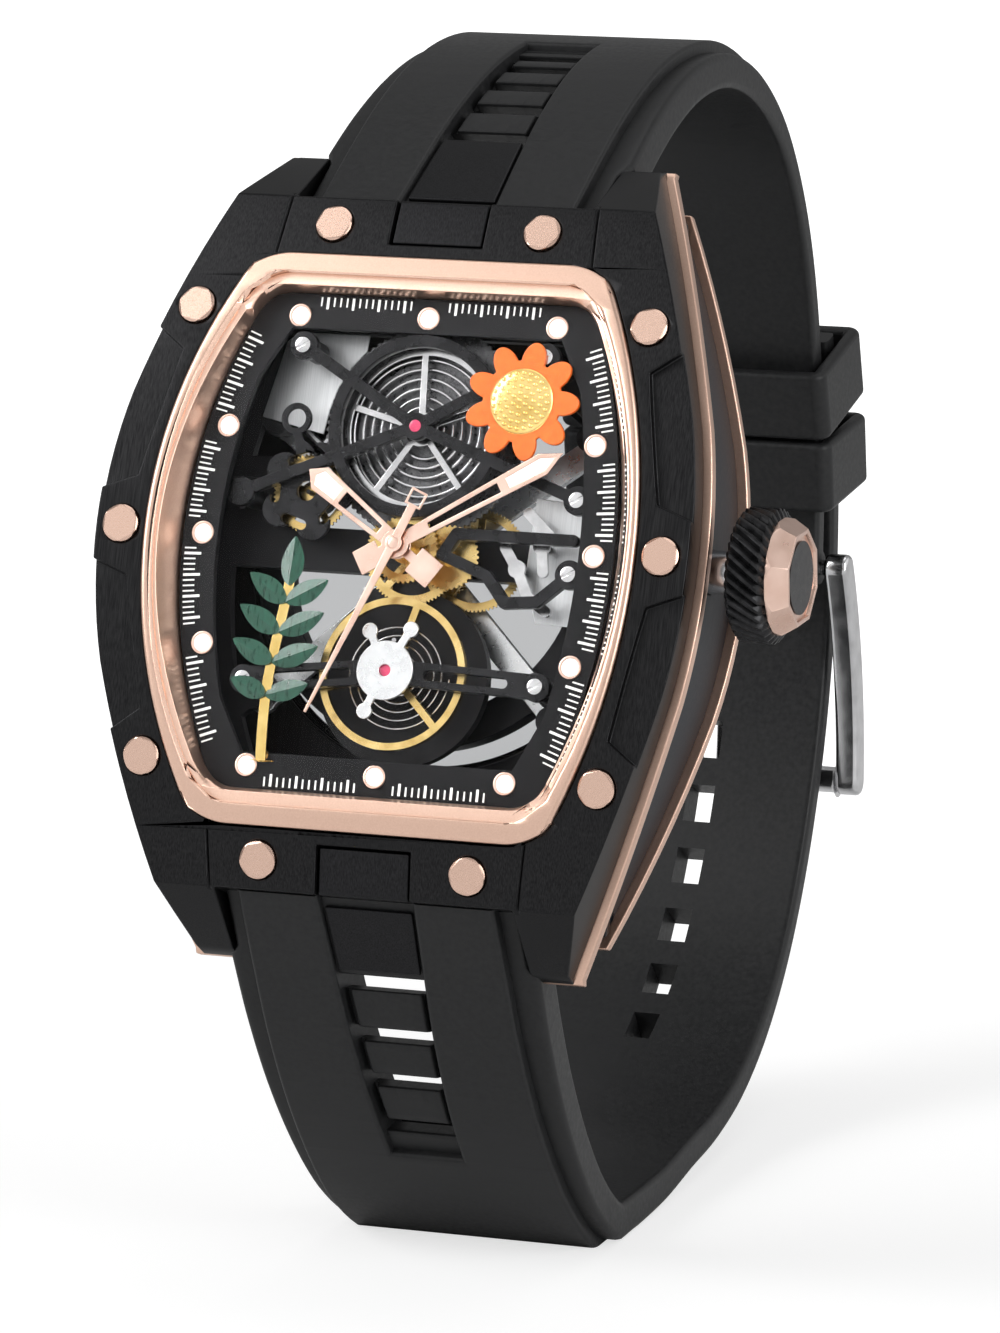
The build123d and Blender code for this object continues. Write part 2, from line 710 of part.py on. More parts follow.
with BuildPart() as marker_rims:
    for x, y in mirrored(marker_places):
        seat_z = arc_z(y, chapter_top_z, dial_radius)
        rod(marker_radius, seat_z - marker_sink, seat_z + marker_proud, ((x, y),))
        rod(marker_radius - marker_rim, seat_z - marker_sink, seat_z + marker_proud, ((x, y),), Mode.SUBTRACT)

with BuildPart() as marker_lume:
    for x, y in mirrored(marker_places):
        seat_z = arc_z(y, chapter_top_z, dial_radius)
        rod(marker_radius - marker_rim, seat_z - marker_sink, seat_z + marker_proud / 2, ((x, y),))

# Bezel screws: a domed head with notches round its edge, and a shank into the case band
with BuildPart() as bezel_screws:
    for x, y in all_screws:
        top_z = arc_z(y, 0, face_radius) + screw_proud
        rod(screw_radius, top_z - screw_head, top_z, ((x, y),))
    chamfer(edges().filter_by(GeomType.CIRCLE).sort_by(Axis.Z).filter_by(
        lambda edge: any(abs(edge.center().Z - arc_z(y, 0, face_radius) - screw_proud) < fit_gap
                         for _, y in screw_places)), screw_bevel)
    for x, y in all_screws:
        top_z = arc_z(y, 0, face_radius) + screw_proud
        notches_at = [(x + screw_radius * math.cos(2 * math.pi * step / screw_slots),
                       y + screw_radius * math.sin(2 * math.pi * step / screw_slots))
                      for step in range(screw_slots)]
        rod(screw_slot_radius, top_z - screw_proud, top_z, notches_at, Mode.SUBTRACT)
        length = screw_shank if abs(y) < strap_tuck_y - screw_radius else screw_shank_short
        rod(screw_shank_radius, top_z - screw_head - length, top_z - screw_head, ((x, y),))

# Strap bars with a slotted screw head at each end
with BuildPart() as strap_bars:
    for up in (1, -1):
        cross_rod(bar_radius, -bar_end_x + side_screw_depth, bar_end_x - side_screw_depth, up * bar_y, bar_z)
        for side in (1, -1):
            cross_rod(side_screw_radius, side * (bar_end_x - side_screw_depth), side * bar_end_x,
                      up * bar_y, bar_z)
    for side in (1, -1):
        with BuildSketch(Plane.YZ.offset(side * (bar_end_x - side_screw_slot))) as slots:
            with Locations((bar_y, bar_z), (-bar_y, bar_z)):
                Rectangle(2 * side_screw_radius, side_screw_slot)
        extrude(slots.sketch, amount=side * side_screw_slot, mode=Mode.SUBTRACT)


# Strap halves: a full-width core, two raised lanes and a recessed channel with a ladder of slots
def strap_edge(path, up):
    """The outer edge of one strap half, in the side view; up is 1 at 12 o'clock and -1 at 6."""
    with BuildLine(Plane.YZ) as outer:
        Spline([(up * y, z) for y, z in path])
    return outer.edges()[0]


def inward(edge, share, depth, up):
    """The side-view point at a share of the edge's length, sunk by depth into the strap."""
    point, along = edge @ share, edge % share
    return point.Y + up * along.Z * depth, point.Z - up * along.Y * depth


def strap_thick(share):
    """Thickness of the strap, thinning evenly to its tail."""
    return strap_head_thick + (strap_tail_thick - strap_head_thick) * min(1.0, share / strap_thin_share)


def strap_layer(edge, up, near, far, start=0.0, end=1.0):
    """The side view of a layer of the strap between two depths, each a function of the share."""
    count = max(strap_samples_least, round(strap_samples * (end - start)))
    shares = [start + (end - start) * step / count for step in range(count + 1)]
    outer = [inward(edge, share, near(share), up) for share in shares]
    inner = [inward(edge, share, far(share), up) for share in reversed(shares)]
    with BuildSketch(Plane.YZ) as view:
        with BuildLine():
            Spline(outer)
            Line(outer[-1], inner[0])
            Spline(inner)
            Line(inner[-1], outer[0])
        make_face()
    return view.sketch


def strap_plane(edge, share, up, depth=0.0):
    """A plane on the strap at a share of its length, facing outward, with its X across the strap."""
    along = edge % share
    y, z = inward(edge, share, depth, up)
    return Plane(origin=(0, y, z), x_dir=(1, 0, 0), z_dir=(0, -up * along.Z, up * along.Y))


def punch(edge, share, up, half, length, lean=0.0):
    """A straight punch through the strap, leaning toward the dial's viewer by an angle."""
    with BuildSketch(strap_plane(edge, share, up).rotated((up * lean, 0, 0))) as mouth:
        Rectangle(2 * half, length)
    return extrude(mouth.sketch, amount=2 * strap_head_thick, both=True, mode=Mode.PRIVATE)


def channel_wedge(up, inset=0.0):
    """The block that the channel keeps to, narrowing away from the case."""
    wide, narrow = channel_half - inset, channel_narrow_half - inset
    with BuildSketch(Plane.XY.offset(-strap_tail_depth)) as plan:
        with BuildLine():
            Polyline((-wide, up * strap_tuck_y), (wide, up * strap_tuck_y), (narrow, up * channel_narrow_y),
                     (-narrow, up * channel_narrow_y), close=True)
        make_face()
    return extrude(plan.sketch, amount=strap_tail_depth + overrun, mode=Mode.PRIVATE)


def channel_block(edge, up, near, far, start, end, inset=0.0):
    """A layer of the channel between two depths and two shares."""
    layer = strap_layer(edge, up, lambda share: near, lambda share: far, start, end)
    return extrude(layer, amount=channel_half, both=True, mode=Mode.PRIVATE) & channel_wedge(up, inset)


def strap_body(edge, up, channel_share, slot_shares):
    """Build one strap half, without its end fittings, in the part that is open."""
    extrude(strap_layer(edge, up, lambda share: lane_height, strap_thick), amount=strap_head_half, both=True)
    with BuildSketch(Plane.XZ) as taper:
        slope = (strap_head_half - strap_tail_half) / strap_tail_depth
        wide, narrow = strap_head_half, strap_tail_half - slope * overrun
        with BuildLine():
            Polyline((-wide, 0), (wide, 0), (narrow, -strap_tail_depth - overrun),
                     (-narrow, -strap_tail_depth - overrun), close=True)
        make_face()
    extrude(taper.sketch, amount=2 * lug_tip_y, both=True, mode=Mode.INTERSECT)
    extrude(strap_layer(edge, up, lambda share: 0.0, lambda share: lane_height + fit_gap),
            amount=lane_half, both=True)
    add(channel_block(edge, up, -lane_height, channel_depth, 0.0, channel_share), mode=Mode.SUBTRACT)
    with BuildSketch(Plane.YZ) as head:
        with BuildLine():
            Polyline((up * strap_tuck_y, head_shelf_z), (up * (strap_gap_y + overrun), head_shelf_z),
                     (up * head_back_y, head_back_z), (up * strap_tuck_y, head_back_z), close=True)
        make_face()
    extrude(head.sketch, amount=lug_inner, both=True)
    inner_y, inner_z = strap_tuck_y + strap_clear, strap_gap_y + strap_clear
    with BuildSketch(Plane.YZ) as bay:
        with Locations((0, 0)):
            Rectangle(2 * inner_y, 4 * lug_y)
        with Locations((0, head_shelf_z + lug_y)):
            Rectangle(2 * inner_z, 2 * lug_y)
    extrude(bay.sketch, amount=2 * lug_inner, both=True, mode=Mode.SUBTRACT)
    with BuildSketch(Plane.YZ) as lug_side:
        Rectangle(2 * (lug_tip_y + strap_clear), 2 * lug_y)
    for side in (1, -1):
        plane_x = side * (lug_inner - strap_clear)
        extrude(lug_side.sketch.moved(Location((plane_x, 0, 0))), amount=side * case_side,
                mode=Mode.SUBTRACT)
    first, last = slot_shares[0] - ladder_margin_share, slot_shares[-1] + ladder_margin_share
    add(channel_block(edge, up, channel_depth + rung_thick, strap_head_thick + overrun, first, last),
        mode=Mode.SUBTRACT)
    for share in slot_shares:
        add(punch(edge, share, up, channel_half, slot_length, slot_lean) & channel_wedge(up),
            mode=Mode.SUBTRACT)
    cross_rod(bar_radius + fit_gap, -case_side, case_side, up * bar_y, bar_z, Mode.SUBTRACT)


low_edge = strap_edge(strap_low_path, -1)
up_edge = strap_edge(strap_up_path, 1)

with BuildPart() as strap_lower:
    strap_body(low_edge, -1, channel_low_share, slot_low_shares)
    for share in hole_low_shares:
        add(punch(low_edge, share, -1, hole_half, hole_length), mode=Mode.SUBTRACT)
    rise_y, rise_z = math.cos(math.radians(lean_deg)), math.sin(math.radians(lean_deg))
    foot = Plane(origin=(0, -foot_depth * rise_y, -foot_depth * rise_z), z_dir=(0, rise_y, rise_z))
    split(bisect_by=foot, keep=Keep.TOP)

with BuildPart() as strap_upper:
    strap_body(up_edge, 1, channel_up_share, slot_up_shares)
    cross_rod(strap_eye_radius, -strap_tail_half, strap_tail_half, pin_y, pin_z)
    cross_rod(pin_radius + running_gap, -arm_inner, arm_inner, pin_y, pin_z, Mode.SUBTRACT)
    with BuildSketch(Plane.YZ) as tongue_gap:
        with Locations((pin_y - overrun, pin_z)):
            Rectangle(2 * (strap_eye_radius + overrun) + overrun, 2 * (strap_eye_radius + overrun))
    extrude(tongue_gap.sketch, amount=tongue_half + tongue_gap_side, both=True, mode=Mode.SUBTRACT)

# Satin links: one in each bezel notch and one at the head of each strap channel
with BuildPart() as strap_links:
    for edge, up, end in ((low_edge, -1, link_low_share), (up_edge, 1, link_up_share)):
        add(channel_block(edge, up, link_step, channel_depth, link_start_share, end, link_gap))
    notch_slab = arc_slab(-link_step, -notch_depth, face_radius, face_radius, strap_gap_y)
    notch_block = extrude(notch_slab, amount=link_half, both=True, mode=Mode.PRIVATE)
    with BuildSketch(Plane.XY.offset(case_deep_z), mode=Mode.PRIVATE) as ends:
        Rectangle(2 * link_half, 2 * strap_gap_y)
        Rectangle(2 * link_half, 2 * (notch_y + strap_clear), mode=Mode.SUBTRACT)
    add(notch_block & extrude(ends.sketch, amount=cut_top, mode=Mode.PRIVATE))


# Keepers round both layers at the back
def keeper(share):
    """A closed loop round both strap layers, in the part that is open."""
    middle = strap_plane(low_edge, share, -1, keeper_depth / 2)
    across = strap_tail_half + keeper_gap + keeper_side
    section = Plane(origin=middle.origin, x_dir=middle.x_dir, z_dir=middle.y_dir)
    with BuildSketch(section) as ring:
        deep = keeper_depth / 2 + keeper_gap
        RectangleRounded(2 * (across + keeper_wall), 2 * (deep + keeper_wall), keeper_wall)
        Rectangle(2 * across, 2 * deep, mode=Mode.SUBTRACT)
    extrude(ring.sketch, amount=keeper_length / 2, both=True)


with BuildPart() as keeper_fixed:
    keeper(keeper_fixed_share)

with BuildPart() as keeper_loose:
    keeper(keeper_loose_share)

# Buckle frame with its pin, and the tongue
with BuildPart() as buckle_frame:
    run = math.hypot(outer_bar_y - pin_y, outer_bar_z - pin_z)
    bow_y, bow_z = arm_bow * (pin_z - outer_bar_z) / run, arm_bow * (outer_bar_y - pin_y) / run
    arm_middle = ((pin_y + outer_bar_y) / 2 + bow_y, (pin_z + outer_bar_z) / 2 + bow_z)
    with BuildSketch(Plane.YZ) as arm:
        with BuildLine():
            ThreePointArc((pin_y, pin_z), arm_middle, (outer_bar_y, outer_bar_z))
            offset(amount=arm_thick / 2)
        make_face()
    extrude(arm.sketch, amount=arm_outer, both=True)
    with BuildSketch(Plane.YZ) as between:
        Rectangle(4 * lug_y, 4 * strap_tail_depth)
    extrude(between.sketch, amount=arm_inner, both=True, mode=Mode.SUBTRACT)
    cross_rod(outer_bar_thick / 2, -arm_inner - overrun, arm_inner + overrun, outer_bar_y, outer_bar_z)
    cross_rod(pin_radius, -arm_inner - overrun, arm_inner + overrun, pin_y, pin_z)

with BuildPart() as buckle_tongue:
    with BuildSketch(Plane.YZ) as blade:
        with BuildLine():
            FilletPolyline(*tongue_path, radius=tongue_bend)
            offset(amount=tongue_thick / 2)
        make_face()
    extrude(blade.sketch, amount=tongue_half, both=True)
    cross_rod(tongue_eye_radius, -tongue_half, tongue_half, pin_y, pin_z)
    cross_rod(pin_radius + running_gap, -tongue_half, tongue_half, pin_y, pin_z, Mode.SUBTRACT)

levers_low_z = levers_z - levers_depth

# Main plate: a rim round the movement, arms across it and rings under the wheels, with pillars to the bridges
plate_low_z = plate_top_z - plate_depth
bridge_low_z = bridge_top_z - bridge_depth
posts_front = ((-12.3, 3.2), (12.35, 3.9), (12.35, -1.2), (-10.4, -9.8), (10.9, -9.0), (8.9, 13.6),
               (-8.9, 13.6))
posts_rear = ((-11.6, 8.8), (11.6, 8.8), (-11.0, -10.4), (11.0, -10.8))
with BuildPart() as main_plate:
    extrude(tonneau(plate_low_z, dial_outline, -fit_gap), amount=rim_top_z - plate_low_z)
    extrude(tonneau(plate_top_z, dial_outline, -plate_rim), amount=rim_top_z - plate_top_z,
            mode=Mode.SUBTRACT)
    with BuildSketch(Plane.XY.offset(plate_low_z)) as openings:
        add(tonneau(0, dial_outline, -2 * plate_rim))
        strip(0, -lug_y, 0, lug_y, plate_arm, Mode.SUBTRACT)
        strip(-case_side, 0, case_side, 0, plate_arm, Mode.SUBTRACT)
        for x, y, reach in ((0, barrel_y, barrel_boss), (third_x, third_y, plate_boss),
                            (escape_x, escape_y, plate_boss), (fork_x, fork_y, plate_boss),
                            (balance_x, balance_y, balance_seat)):
            with Locations((x, y)):
                Circle(reach, mode=Mode.SUBTRACT)
        for x, y in left_posts:
            strip(x, y, left_arm_share * x, y, 2 * post_radius, Mode.SUBTRACT)
        with Locations((flower_x, flower_y)):
            Circle(plate_boss, mode=Mode.SUBTRACT)
        strip(flower_x, flower_y, -case_side, flower_y, plate_boss, Mode.SUBTRACT)
        for x, y in posts_front + posts_rear:
            with Locations((x, y)):
                Circle(post_radius + plate_lip, mode=Mode.SUBTRACT)
            strip(x, y, post_arm_share * x, post_arm_share * y, 2 * post_radius, Mode.SUBTRACT)
    extrude(openings.sketch, amount=plate_depth, mode=Mode.SUBTRACT)
    rod(post_radius, plate_low_z, bridge_low_z, posts_front)
    rod(post_radius, rear_bridge_top_z, plate_low_z, posts_rear)
    rod(left_post_radius, plate_low_z, left_bridge_z - left_bridge_depth, left_posts)
    rod(arbor_radius, plate_low_z, left_bridge_z - left_bridge_depth - fit_gap, ((flower_x, flower_y),))
    rod(left_post_radius, plate_top_z, levers_low_z, lever_studs)
    for x, y, reach in ((0, 0, centre_bore), (third_x, third_y, arbor_radius),
                        (escape_x, escape_y, arbor_radius), (fork_x, fork_y, arbor_radius),
                        (balance_x, balance_y, balance_bore)):
        rod(reach + pivot_gap, plate_low_z, plate_top_z, ((x, y),), Mode.SUBTRACT)
    with BuildSketch(Plane.YZ.offset(lug_inner)) as stem_bore:
        with Locations((0, stem_z)):
            Circle(stem_radius + stem_gap)
    extrude(stem_bore.sketch, amount=case_side, mode=Mode.SUBTRACT)

# Movement ring between the plate and the case
with BuildPart() as movement_ring:
    extrude(tonneau(caseback_top_z + fit_gap, frame_outline, -overrun - fit_gap), amount=movement_ring_depth)
    extrude(tonneau(caseback_top_z + fit_gap, dial_outline), amount=movement_ring_depth, mode=Mode.SUBTRACT)
    cross_rod(tube_radius + fit_gap, lug_inner, case_side, 0, stem_z, Mode.SUBTRACT)


def bridge_holes(places):
    """Screw holes through a front bridge, in the part that is open."""
    rod(bridge_screw_radius, bridge_low_z, bridge_top_z, places, Mode.SUBTRACT)


# Barrel bridge: a ring round the barrel with an X of arms and a jewelled hub
with BuildPart() as barrel_bridge:
    with BuildSketch(Plane.XY.offset(bridge_low_z)) as shape:
        with Locations((0, barrel_y)):
            Circle(barrel_ring_radius)
            Circle(barrel_ring_radius - bridge_arm, mode=Mode.SUBTRACT)
        for x, y in (posts_front[0], posts_front[1], posts_front[5], posts_front[6]):
            strip(0, barrel_y, x, y, bridge_arm)
            with Locations((x, y)):
                Circle(post_radius + plate_lip)
        with Locations((0, barrel_y)):
            Circle(hub_radius)
        add(tonneau(0, window_outline, -fit_gap), mode=Mode.INTERSECT)
    extrude(shape.sketch, amount=bridge_depth)
    bridge_holes((posts_front[1], posts_front[5], posts_front[6]))
    rod(jewel_radius, bridge_low_z, bridge_top_z, ((0, barrel_y),), Mode.SUBTRACT)

# Left bridge: a flower of lobes pierced by kidney slots, with an eyelet above it
with BuildPart() as left_bridge:
    with BuildSketch(Plane.XY.offset(left_bridge_z - left_bridge_depth)) as shape:
        for step in range(lobe_count):
            turn = 2 * math.pi * step / lobe_count
            with Locations((flower_x + lobe_reach * math.cos(turn), flower_y + lobe_reach * math.sin(turn))):
                Circle(lobe_radius)
        with Locations((flower_x, flower_y)):
            Circle(lobe_reach)
        strip(flower_x, flower_y, eyelet_x, eyelet_y, bridge_arm)
        with Locations((eyelet_x, eyelet_y)):
            Circle(eyelet_radius)
            Circle(eyelet_radius - bridge_arm / 2, mode=Mode.SUBTRACT)
        with Locations((flower_x, flower_y)):
            with PolarLocations(lobe_reach, lobe_count, start_angle=180 / lobe_count):
                SlotCenterToCenter(kidney_length, kidney_width, rotation=90, mode=Mode.SUBTRACT)
            Circle(kidney_width, mode=Mode.SUBTRACT)
        add(tonneau(0, window_outline, -fit_gap), mode=Mode.INTERSECT)
    extrude(shape.sketch, amount=left_bridge_depth)

# Right bridge: a straight bar and a curved one below it
with BuildPart() as right_bridge:
    with BuildSketch(Plane.XY.offset(bridge_low_z)) as shape:
        strip(right_bar_x, right_bar_y, posts_front[1][0], right_bar_y, bridge_arm)
        for (ax, ay), (bx, by) in zip(right_curve, right_curve[1:]):
            strip(ax, ay, bx, by, bridge_arm)
        with Locations(posts_front[2]):
            Circle(post_radius + plate_lip)
        add(tonneau(0, window_outline, -fit_gap), mode=Mode.INTERSECT)
    extrude(shape.sketch, amount=bridge_depth)
    bridge_holes((posts_front[2],))
    rod(arbor_radius + pivot_gap, bridge_low_z, bridge_low_z + jewel_sink, ((minute_work_x, minute_work_y),),
        Mode.SUBTRACT)

# Balance bridge: a slotted bar over the balance
with BuildPart() as balance_bridge:
    with BuildSketch(Plane.XY.offset(bridge_low_z)) as shape:
        for end, side in ((posts_front[3], -1), (posts_front[4], 1)):
            strip(balance_x, balance_y, end[0], end[1], balance_bar)
            with Locations(end):
                Circle(post_radius + plate_lip)
        with Locations((balance_x, balance_y)):
            Circle(hub_radius)
        for end, side in ((posts_front[3], -1), (posts_front[4], 1)):
            near, far = balance_slot_shares
            strip(balance_x + near * (end[0] - balance_x), balance_y + near * (end[1] - balance_y),
                  balance_x + far * (end[0] - balance_x), balance_y + far * (end[1] - balance_y),
                  balance_slot, Mode.SUBTRACT)
        add(tonneau(0, window_outline, -fit_gap), mode=Mode.INTERSECT)
    extrude(shape.sketch, amount=bridge_depth)
    bridge_holes((posts_front[3], posts_front[4]))
    rod(jewel_radius, bridge_low_z, bridge_top_z, ((balance_x, balance_y),), Mode.SUBTRACT)

# Regulator on the balance bridge: a disc with three arms
with BuildPart() as regulator:
    with BuildSketch(Plane.XY.offset(bridge_top_z)) as shape:
        with Locations((balance_x, balance_y)):
            Circle(regulator_radius)
        for turn, reach in regulator_arms:
            angle = math.radians(turn)
            end_x, end_y = balance_x + reach * math.cos(angle), balance_y + reach * math.sin(angle)
            strip(balance_x, balance_y, end_x, end_y, regulator_arm_width)
            with Locations((end_x, end_y)):
                Circle(regulator_arm_width)
        with Locations((balance_x, balance_y)):
            Circle(jewel_radius, mode=Mode.SUBTRACT)
    extrude(shape.sketch, amount=regulator_depth)

# Jewels in the bridges, and the screws that hold the bridges to the posts
with BuildPart() as jewels:
    rod(jewel_radius, bridge_top_z - bridge_depth, bridge_top_z + jewel_proud,
        ((0, barrel_y), (balance_x, balance_y)))
    rod(arbor_radius + pivot_gap, bridge_low_z, bridge_low_z + jewel_sink,
        ((0, barrel_y), (balance_x, balance_y)), Mode.SUBTRACT)

with BuildPart() as movement_screws:
    used = posts_front[1:]
    rod(bridge_screw_head, bridge_top_z, bridge_top_z + bridge_screw_rise, used)
    with BuildSketch(Plane.XY.offset(bridge_top_z + bridge_screw_rise / 2)) as slots:
        with Locations(*used):
            Rectangle(2 * bridge_screw_head, bridge_screw_slot, rotation=bridge_screw_turn)
    extrude(slots.sketch, amount=bridge_screw_rise, mode=Mode.SUBTRACT)
    rod(bridge_screw_radius, bridge_low_z, bridge_top_z, used)

# Rear bridge under the wheels, with the post of the rotor bearing
rear_bridge_low_z = rear_bridge_top_z - rear_bridge_depth
with BuildPart() as rear_bridge:
    with BuildSketch(Plane.XY.offset(rear_bridge_low_z)) as shape:
        for x, y in posts_rear:
            strip(0, 0, x, y, rear_arm)
            with Locations((x, y)):
                Circle(post_radius + plate_lip)
        strip(0, 0, balance_x, balance_y, rear_arm)
        strip(0, 0, third_x, third_y, rear_arm)
        strip(0, 0, 0, barrel_y, rear_arm)
        Circle(rear_hub)
    extrude(shape.sketch, amount=rear_bridge_depth)
    for x, y in ((third_x, third_y), (escape_x, escape_y), (balance_x, balance_y)):
        rod(arbor_radius + pivot_gap, rear_bridge_low_z, rear_bridge_top_z, ((x, y),), Mode.SUBTRACT)
    rod(rotor_post_radius, rotor_top_z - rotor_plate_depth - rotor_post_extra, rear_bridge_low_z)

# Rotor: a skeleton plate with a heavy half ring, turning on the rear bridge's post
with BuildPart() as rotor_weight:
    with BuildSketch(Plane.XY.offset(rotor_top_z - rotor_weight_depth)) as shape:
        Circle(rotor_radius)
        Circle(rotor_radius - rotor_rim, mode=Mode.SUBTRACT)
        with Locations((0, rotor_radius / 2)):
            Rectangle(2 * rotor_radius, rotor_radius, mode=Mode.SUBTRACT)
    extrude(shape.sketch, amount=rotor_weight_depth)
    with BuildSketch(Plane.XY.offset(rotor_top_z - rotor_plate_depth)) as spokes:
        for turn in (180, 225, 270, 315, 360):
            angle = math.radians(turn)
            reach = rotor_radius - rotor_rim / 2
            strip(0, -rotor_lift, reach * math.cos(angle), reach * math.sin(angle) - rotor_lift, rotor_spoke)
        Circle(rotor_hub)
        Circle(rotor_post_radius + running_gap, mode=Mode.SUBTRACT)
    extrude(spokes.sketch, amount=rotor_plate_depth)

# Barrel: toothed drum open at the front, its skeleton cover, and the mainspring inside
with BuildPart() as barrel_drum:
    gear(barrel_teeth_z, barrel_teeth_depth, barrel_teeth_radius, barrel_teeth, 0, barrel_y)
    rod(barrel_radius, barrel_teeth_z - barrel_teeth_depth, barrel_top_z - barrel_cover_depth,
        ((0, barrel_y),))
    rod(barrel_radius - barrel_wall, barrel_teeth_z, barrel_top_z - barrel_cover_depth, ((0, barrel_y),),
        Mode.SUBTRACT)
    rod(barrel_core_radius, barrel_teeth_z, barrel_top_z - barrel_cover_depth, ((0, barrel_y),))

with BuildPart() as barrel_cover:
    with BuildSketch(Plane.XY.offset(barrel_top_z - barrel_cover_depth)) as shape:
        with Locations((0, barrel_y)):
            Circle(barrel_radius)
            Circle(barrel_radius - barrel_cover_rim, mode=Mode.SUBTRACT)
            Circle(barrel_core_radius)
        for step in range(barrel_spokes):
            turn = 2 * math.pi * (step + barrel_spoke_share) / barrel_spokes
            reach = barrel_radius - barrel_cover_rim / 2
            strip(0, barrel_y, reach * math.cos(turn), barrel_y + reach * math.sin(turn),
                  barrel_cover_rim / 2)
    extrude(shape.sketch, amount=barrel_cover_depth)
    rod(arbor_radius, barrel_top_z, bridge_low_z + jewel_sink - pivot_gap, ((0, barrel_y),))

with BuildPart() as mainspring:
    spiral((barrel_teeth_z + barrel_top_z - barrel_cover_depth) / 2, mainspring_inner, mainspring_outer,
           mainspring_turns, mainspring_wire, 0, barrel_y)
print("mainspring gap between turns",
      round((mainspring_outer - mainspring_inner) / mainspring_turns - 2 * mainspring_wire, 3))

# Wheels: minute tube with its wheel and pinions, hour wheel, motion work, train and reduction wheel
minute_low_z = centre_wheel_z - wheel_depth - pivot_gap
with BuildPart() as centre_wheel:
    gear(centre_wheel_z, wheel_depth, centre_wheel_radius, centre_teeth, rim=centre_rim,
         spokes=5, hub=centre_pinion_radius)
    gear(barrel_teeth_z + wheel_depth / 2, barrel_teeth_z + wheel_depth / 2 - centre_wheel_z,
         centre_pinion_radius, centre_leaves)
    gear(minute_work_z + wheel_depth / 4, pinion_depth, cannon_radius, cannon_leaves)
    rod(minute_tube_radius, minute_low_z, minute_hand_z)
    rod(minute_tube_radius - tube_wall, minute_low_z, minute_hand_z, mode=Mode.SUBTRACT)

with BuildPart() as hour_wheel:
    gear(hour_wheel_z, wheel_depth, hour_wheel_radius, hour_teeth, rim=wheel_rim, spokes=4,
         hub=hour_tube_radius + hour_hub_wall)
    rod(hour_tube_radius, hour_wheel_z - wheel_depth, hour_hand_z)
    rod(hour_tube_radius - tube_wall, hour_wheel_z - wheel_depth, hour_hand_z, mode=Mode.SUBTRACT)

with BuildPart() as minute_wheel:
    place = {"x": minute_work_x, "y": minute_work_y}
    gear(minute_work_z, wheel_depth, minute_wheel_radius, minute_teeth, **place)
    gear(hour_wheel_z + wheel_depth / 4, hour_wheel_z + wheel_depth / 4 - minute_work_z, minute_pinion_radius,
         minute_leaves, **place)
    rod(arbor_radius, minute_work_z, bridge_low_z + jewel_sink - pivot_gap, ((minute_work_x, minute_work_y),))

with BuildPart() as third_wheel:
    gear(third_wheel_z, wheel_depth, third_wheel_radius, third_teeth, third_x, third_y, rim=wheel_rim,
         spokes=5, hub=wheel_hub)
    gear(centre_wheel_z + wheel_depth, 2 * wheel_depth, third_pinion_radius, third_leaves, third_x, third_y)
    rod(arbor_radius, rear_bridge_low_z + fit_gap, centre_wheel_z + 2 * wheel_depth, ((third_x, third_y),))

with BuildPart() as fourth_wheel:
    gear(fourth_wheel_z, wheel_depth, fourth_wheel_radius, fourth_teeth, rim=wheel_rim, spokes=4,
         hub=wheel_hub)
    gear(third_wheel_z + wheel_depth / 2, third_wheel_z + wheel_depth / 2 - fourth_wheel_z,
         fourth_pinion_radius, fourth_leaves)
    rod(seconds_arbor_radius, rear_bridge_top_z + pivot_gap, seconds_hand_z)

with BuildPart() as escape_wheel:
    gear(third_wheel_z, wheel_depth, escape_radius, escape_teeth, escape_x, escape_y, height=escape_tooth,
         rim=escape_rim, spokes=4, hub=escape_hub)
    gear(fourth_wheel_z + wheel_depth / 2, pinion_depth, escape_pinion_radius, escape_leaves,
         escape_x, escape_y, height=escape_leaf)
    rod(arbor_radius, rear_bridge_top_z - fit_gap, plate_top_z, ((escape_x, escape_y),))

with BuildPart() as reduction_wheel:
    gear(reduction_z, wheel_depth, reduction_radius, reduction_teeth, flower_x, flower_y,
         rim=wheel_rim, spokes=5, hub=reduction_hub)
    rod(arbor_radius + pivot_gap, reduction_z - wheel_depth, reduction_z, ((flower_x, flower_y),),
        Mode.SUBTRACT)

# Escapement: pallet fork, balance, its staff and the hairspring
with BuildPart() as pallet_fork:
    toward_escape = math.atan2(escape_y - fork_y, escape_x - fork_x)
    toward_balance = math.atan2(balance_y - fork_y, balance_x - fork_x)
    with BuildSketch(Plane.XY.offset(roller_z - roller_depth)) as shape:
        for turn in (fork_arm_turn, -fork_arm_turn):
            angle = toward_escape + math.radians(turn)
            strip(fork_x, fork_y, fork_x + fork_arm * math.cos(angle), fork_y + fork_arm * math.sin(angle),
                  fork_width)
        strip(fork_x, fork_y, fork_x + fork_lever * math.cos(toward_balance),
              fork_y + fork_lever * math.sin(toward_balance), fork_width)
        with Locations((fork_x, fork_y)):
            Circle(2 * fork_width)
    extrude(shape.sketch, amount=roller_depth)
    rod(arbor_radius, rear_bridge_top_z + fork_width, plate_top_z, ((fork_x, fork_y),))

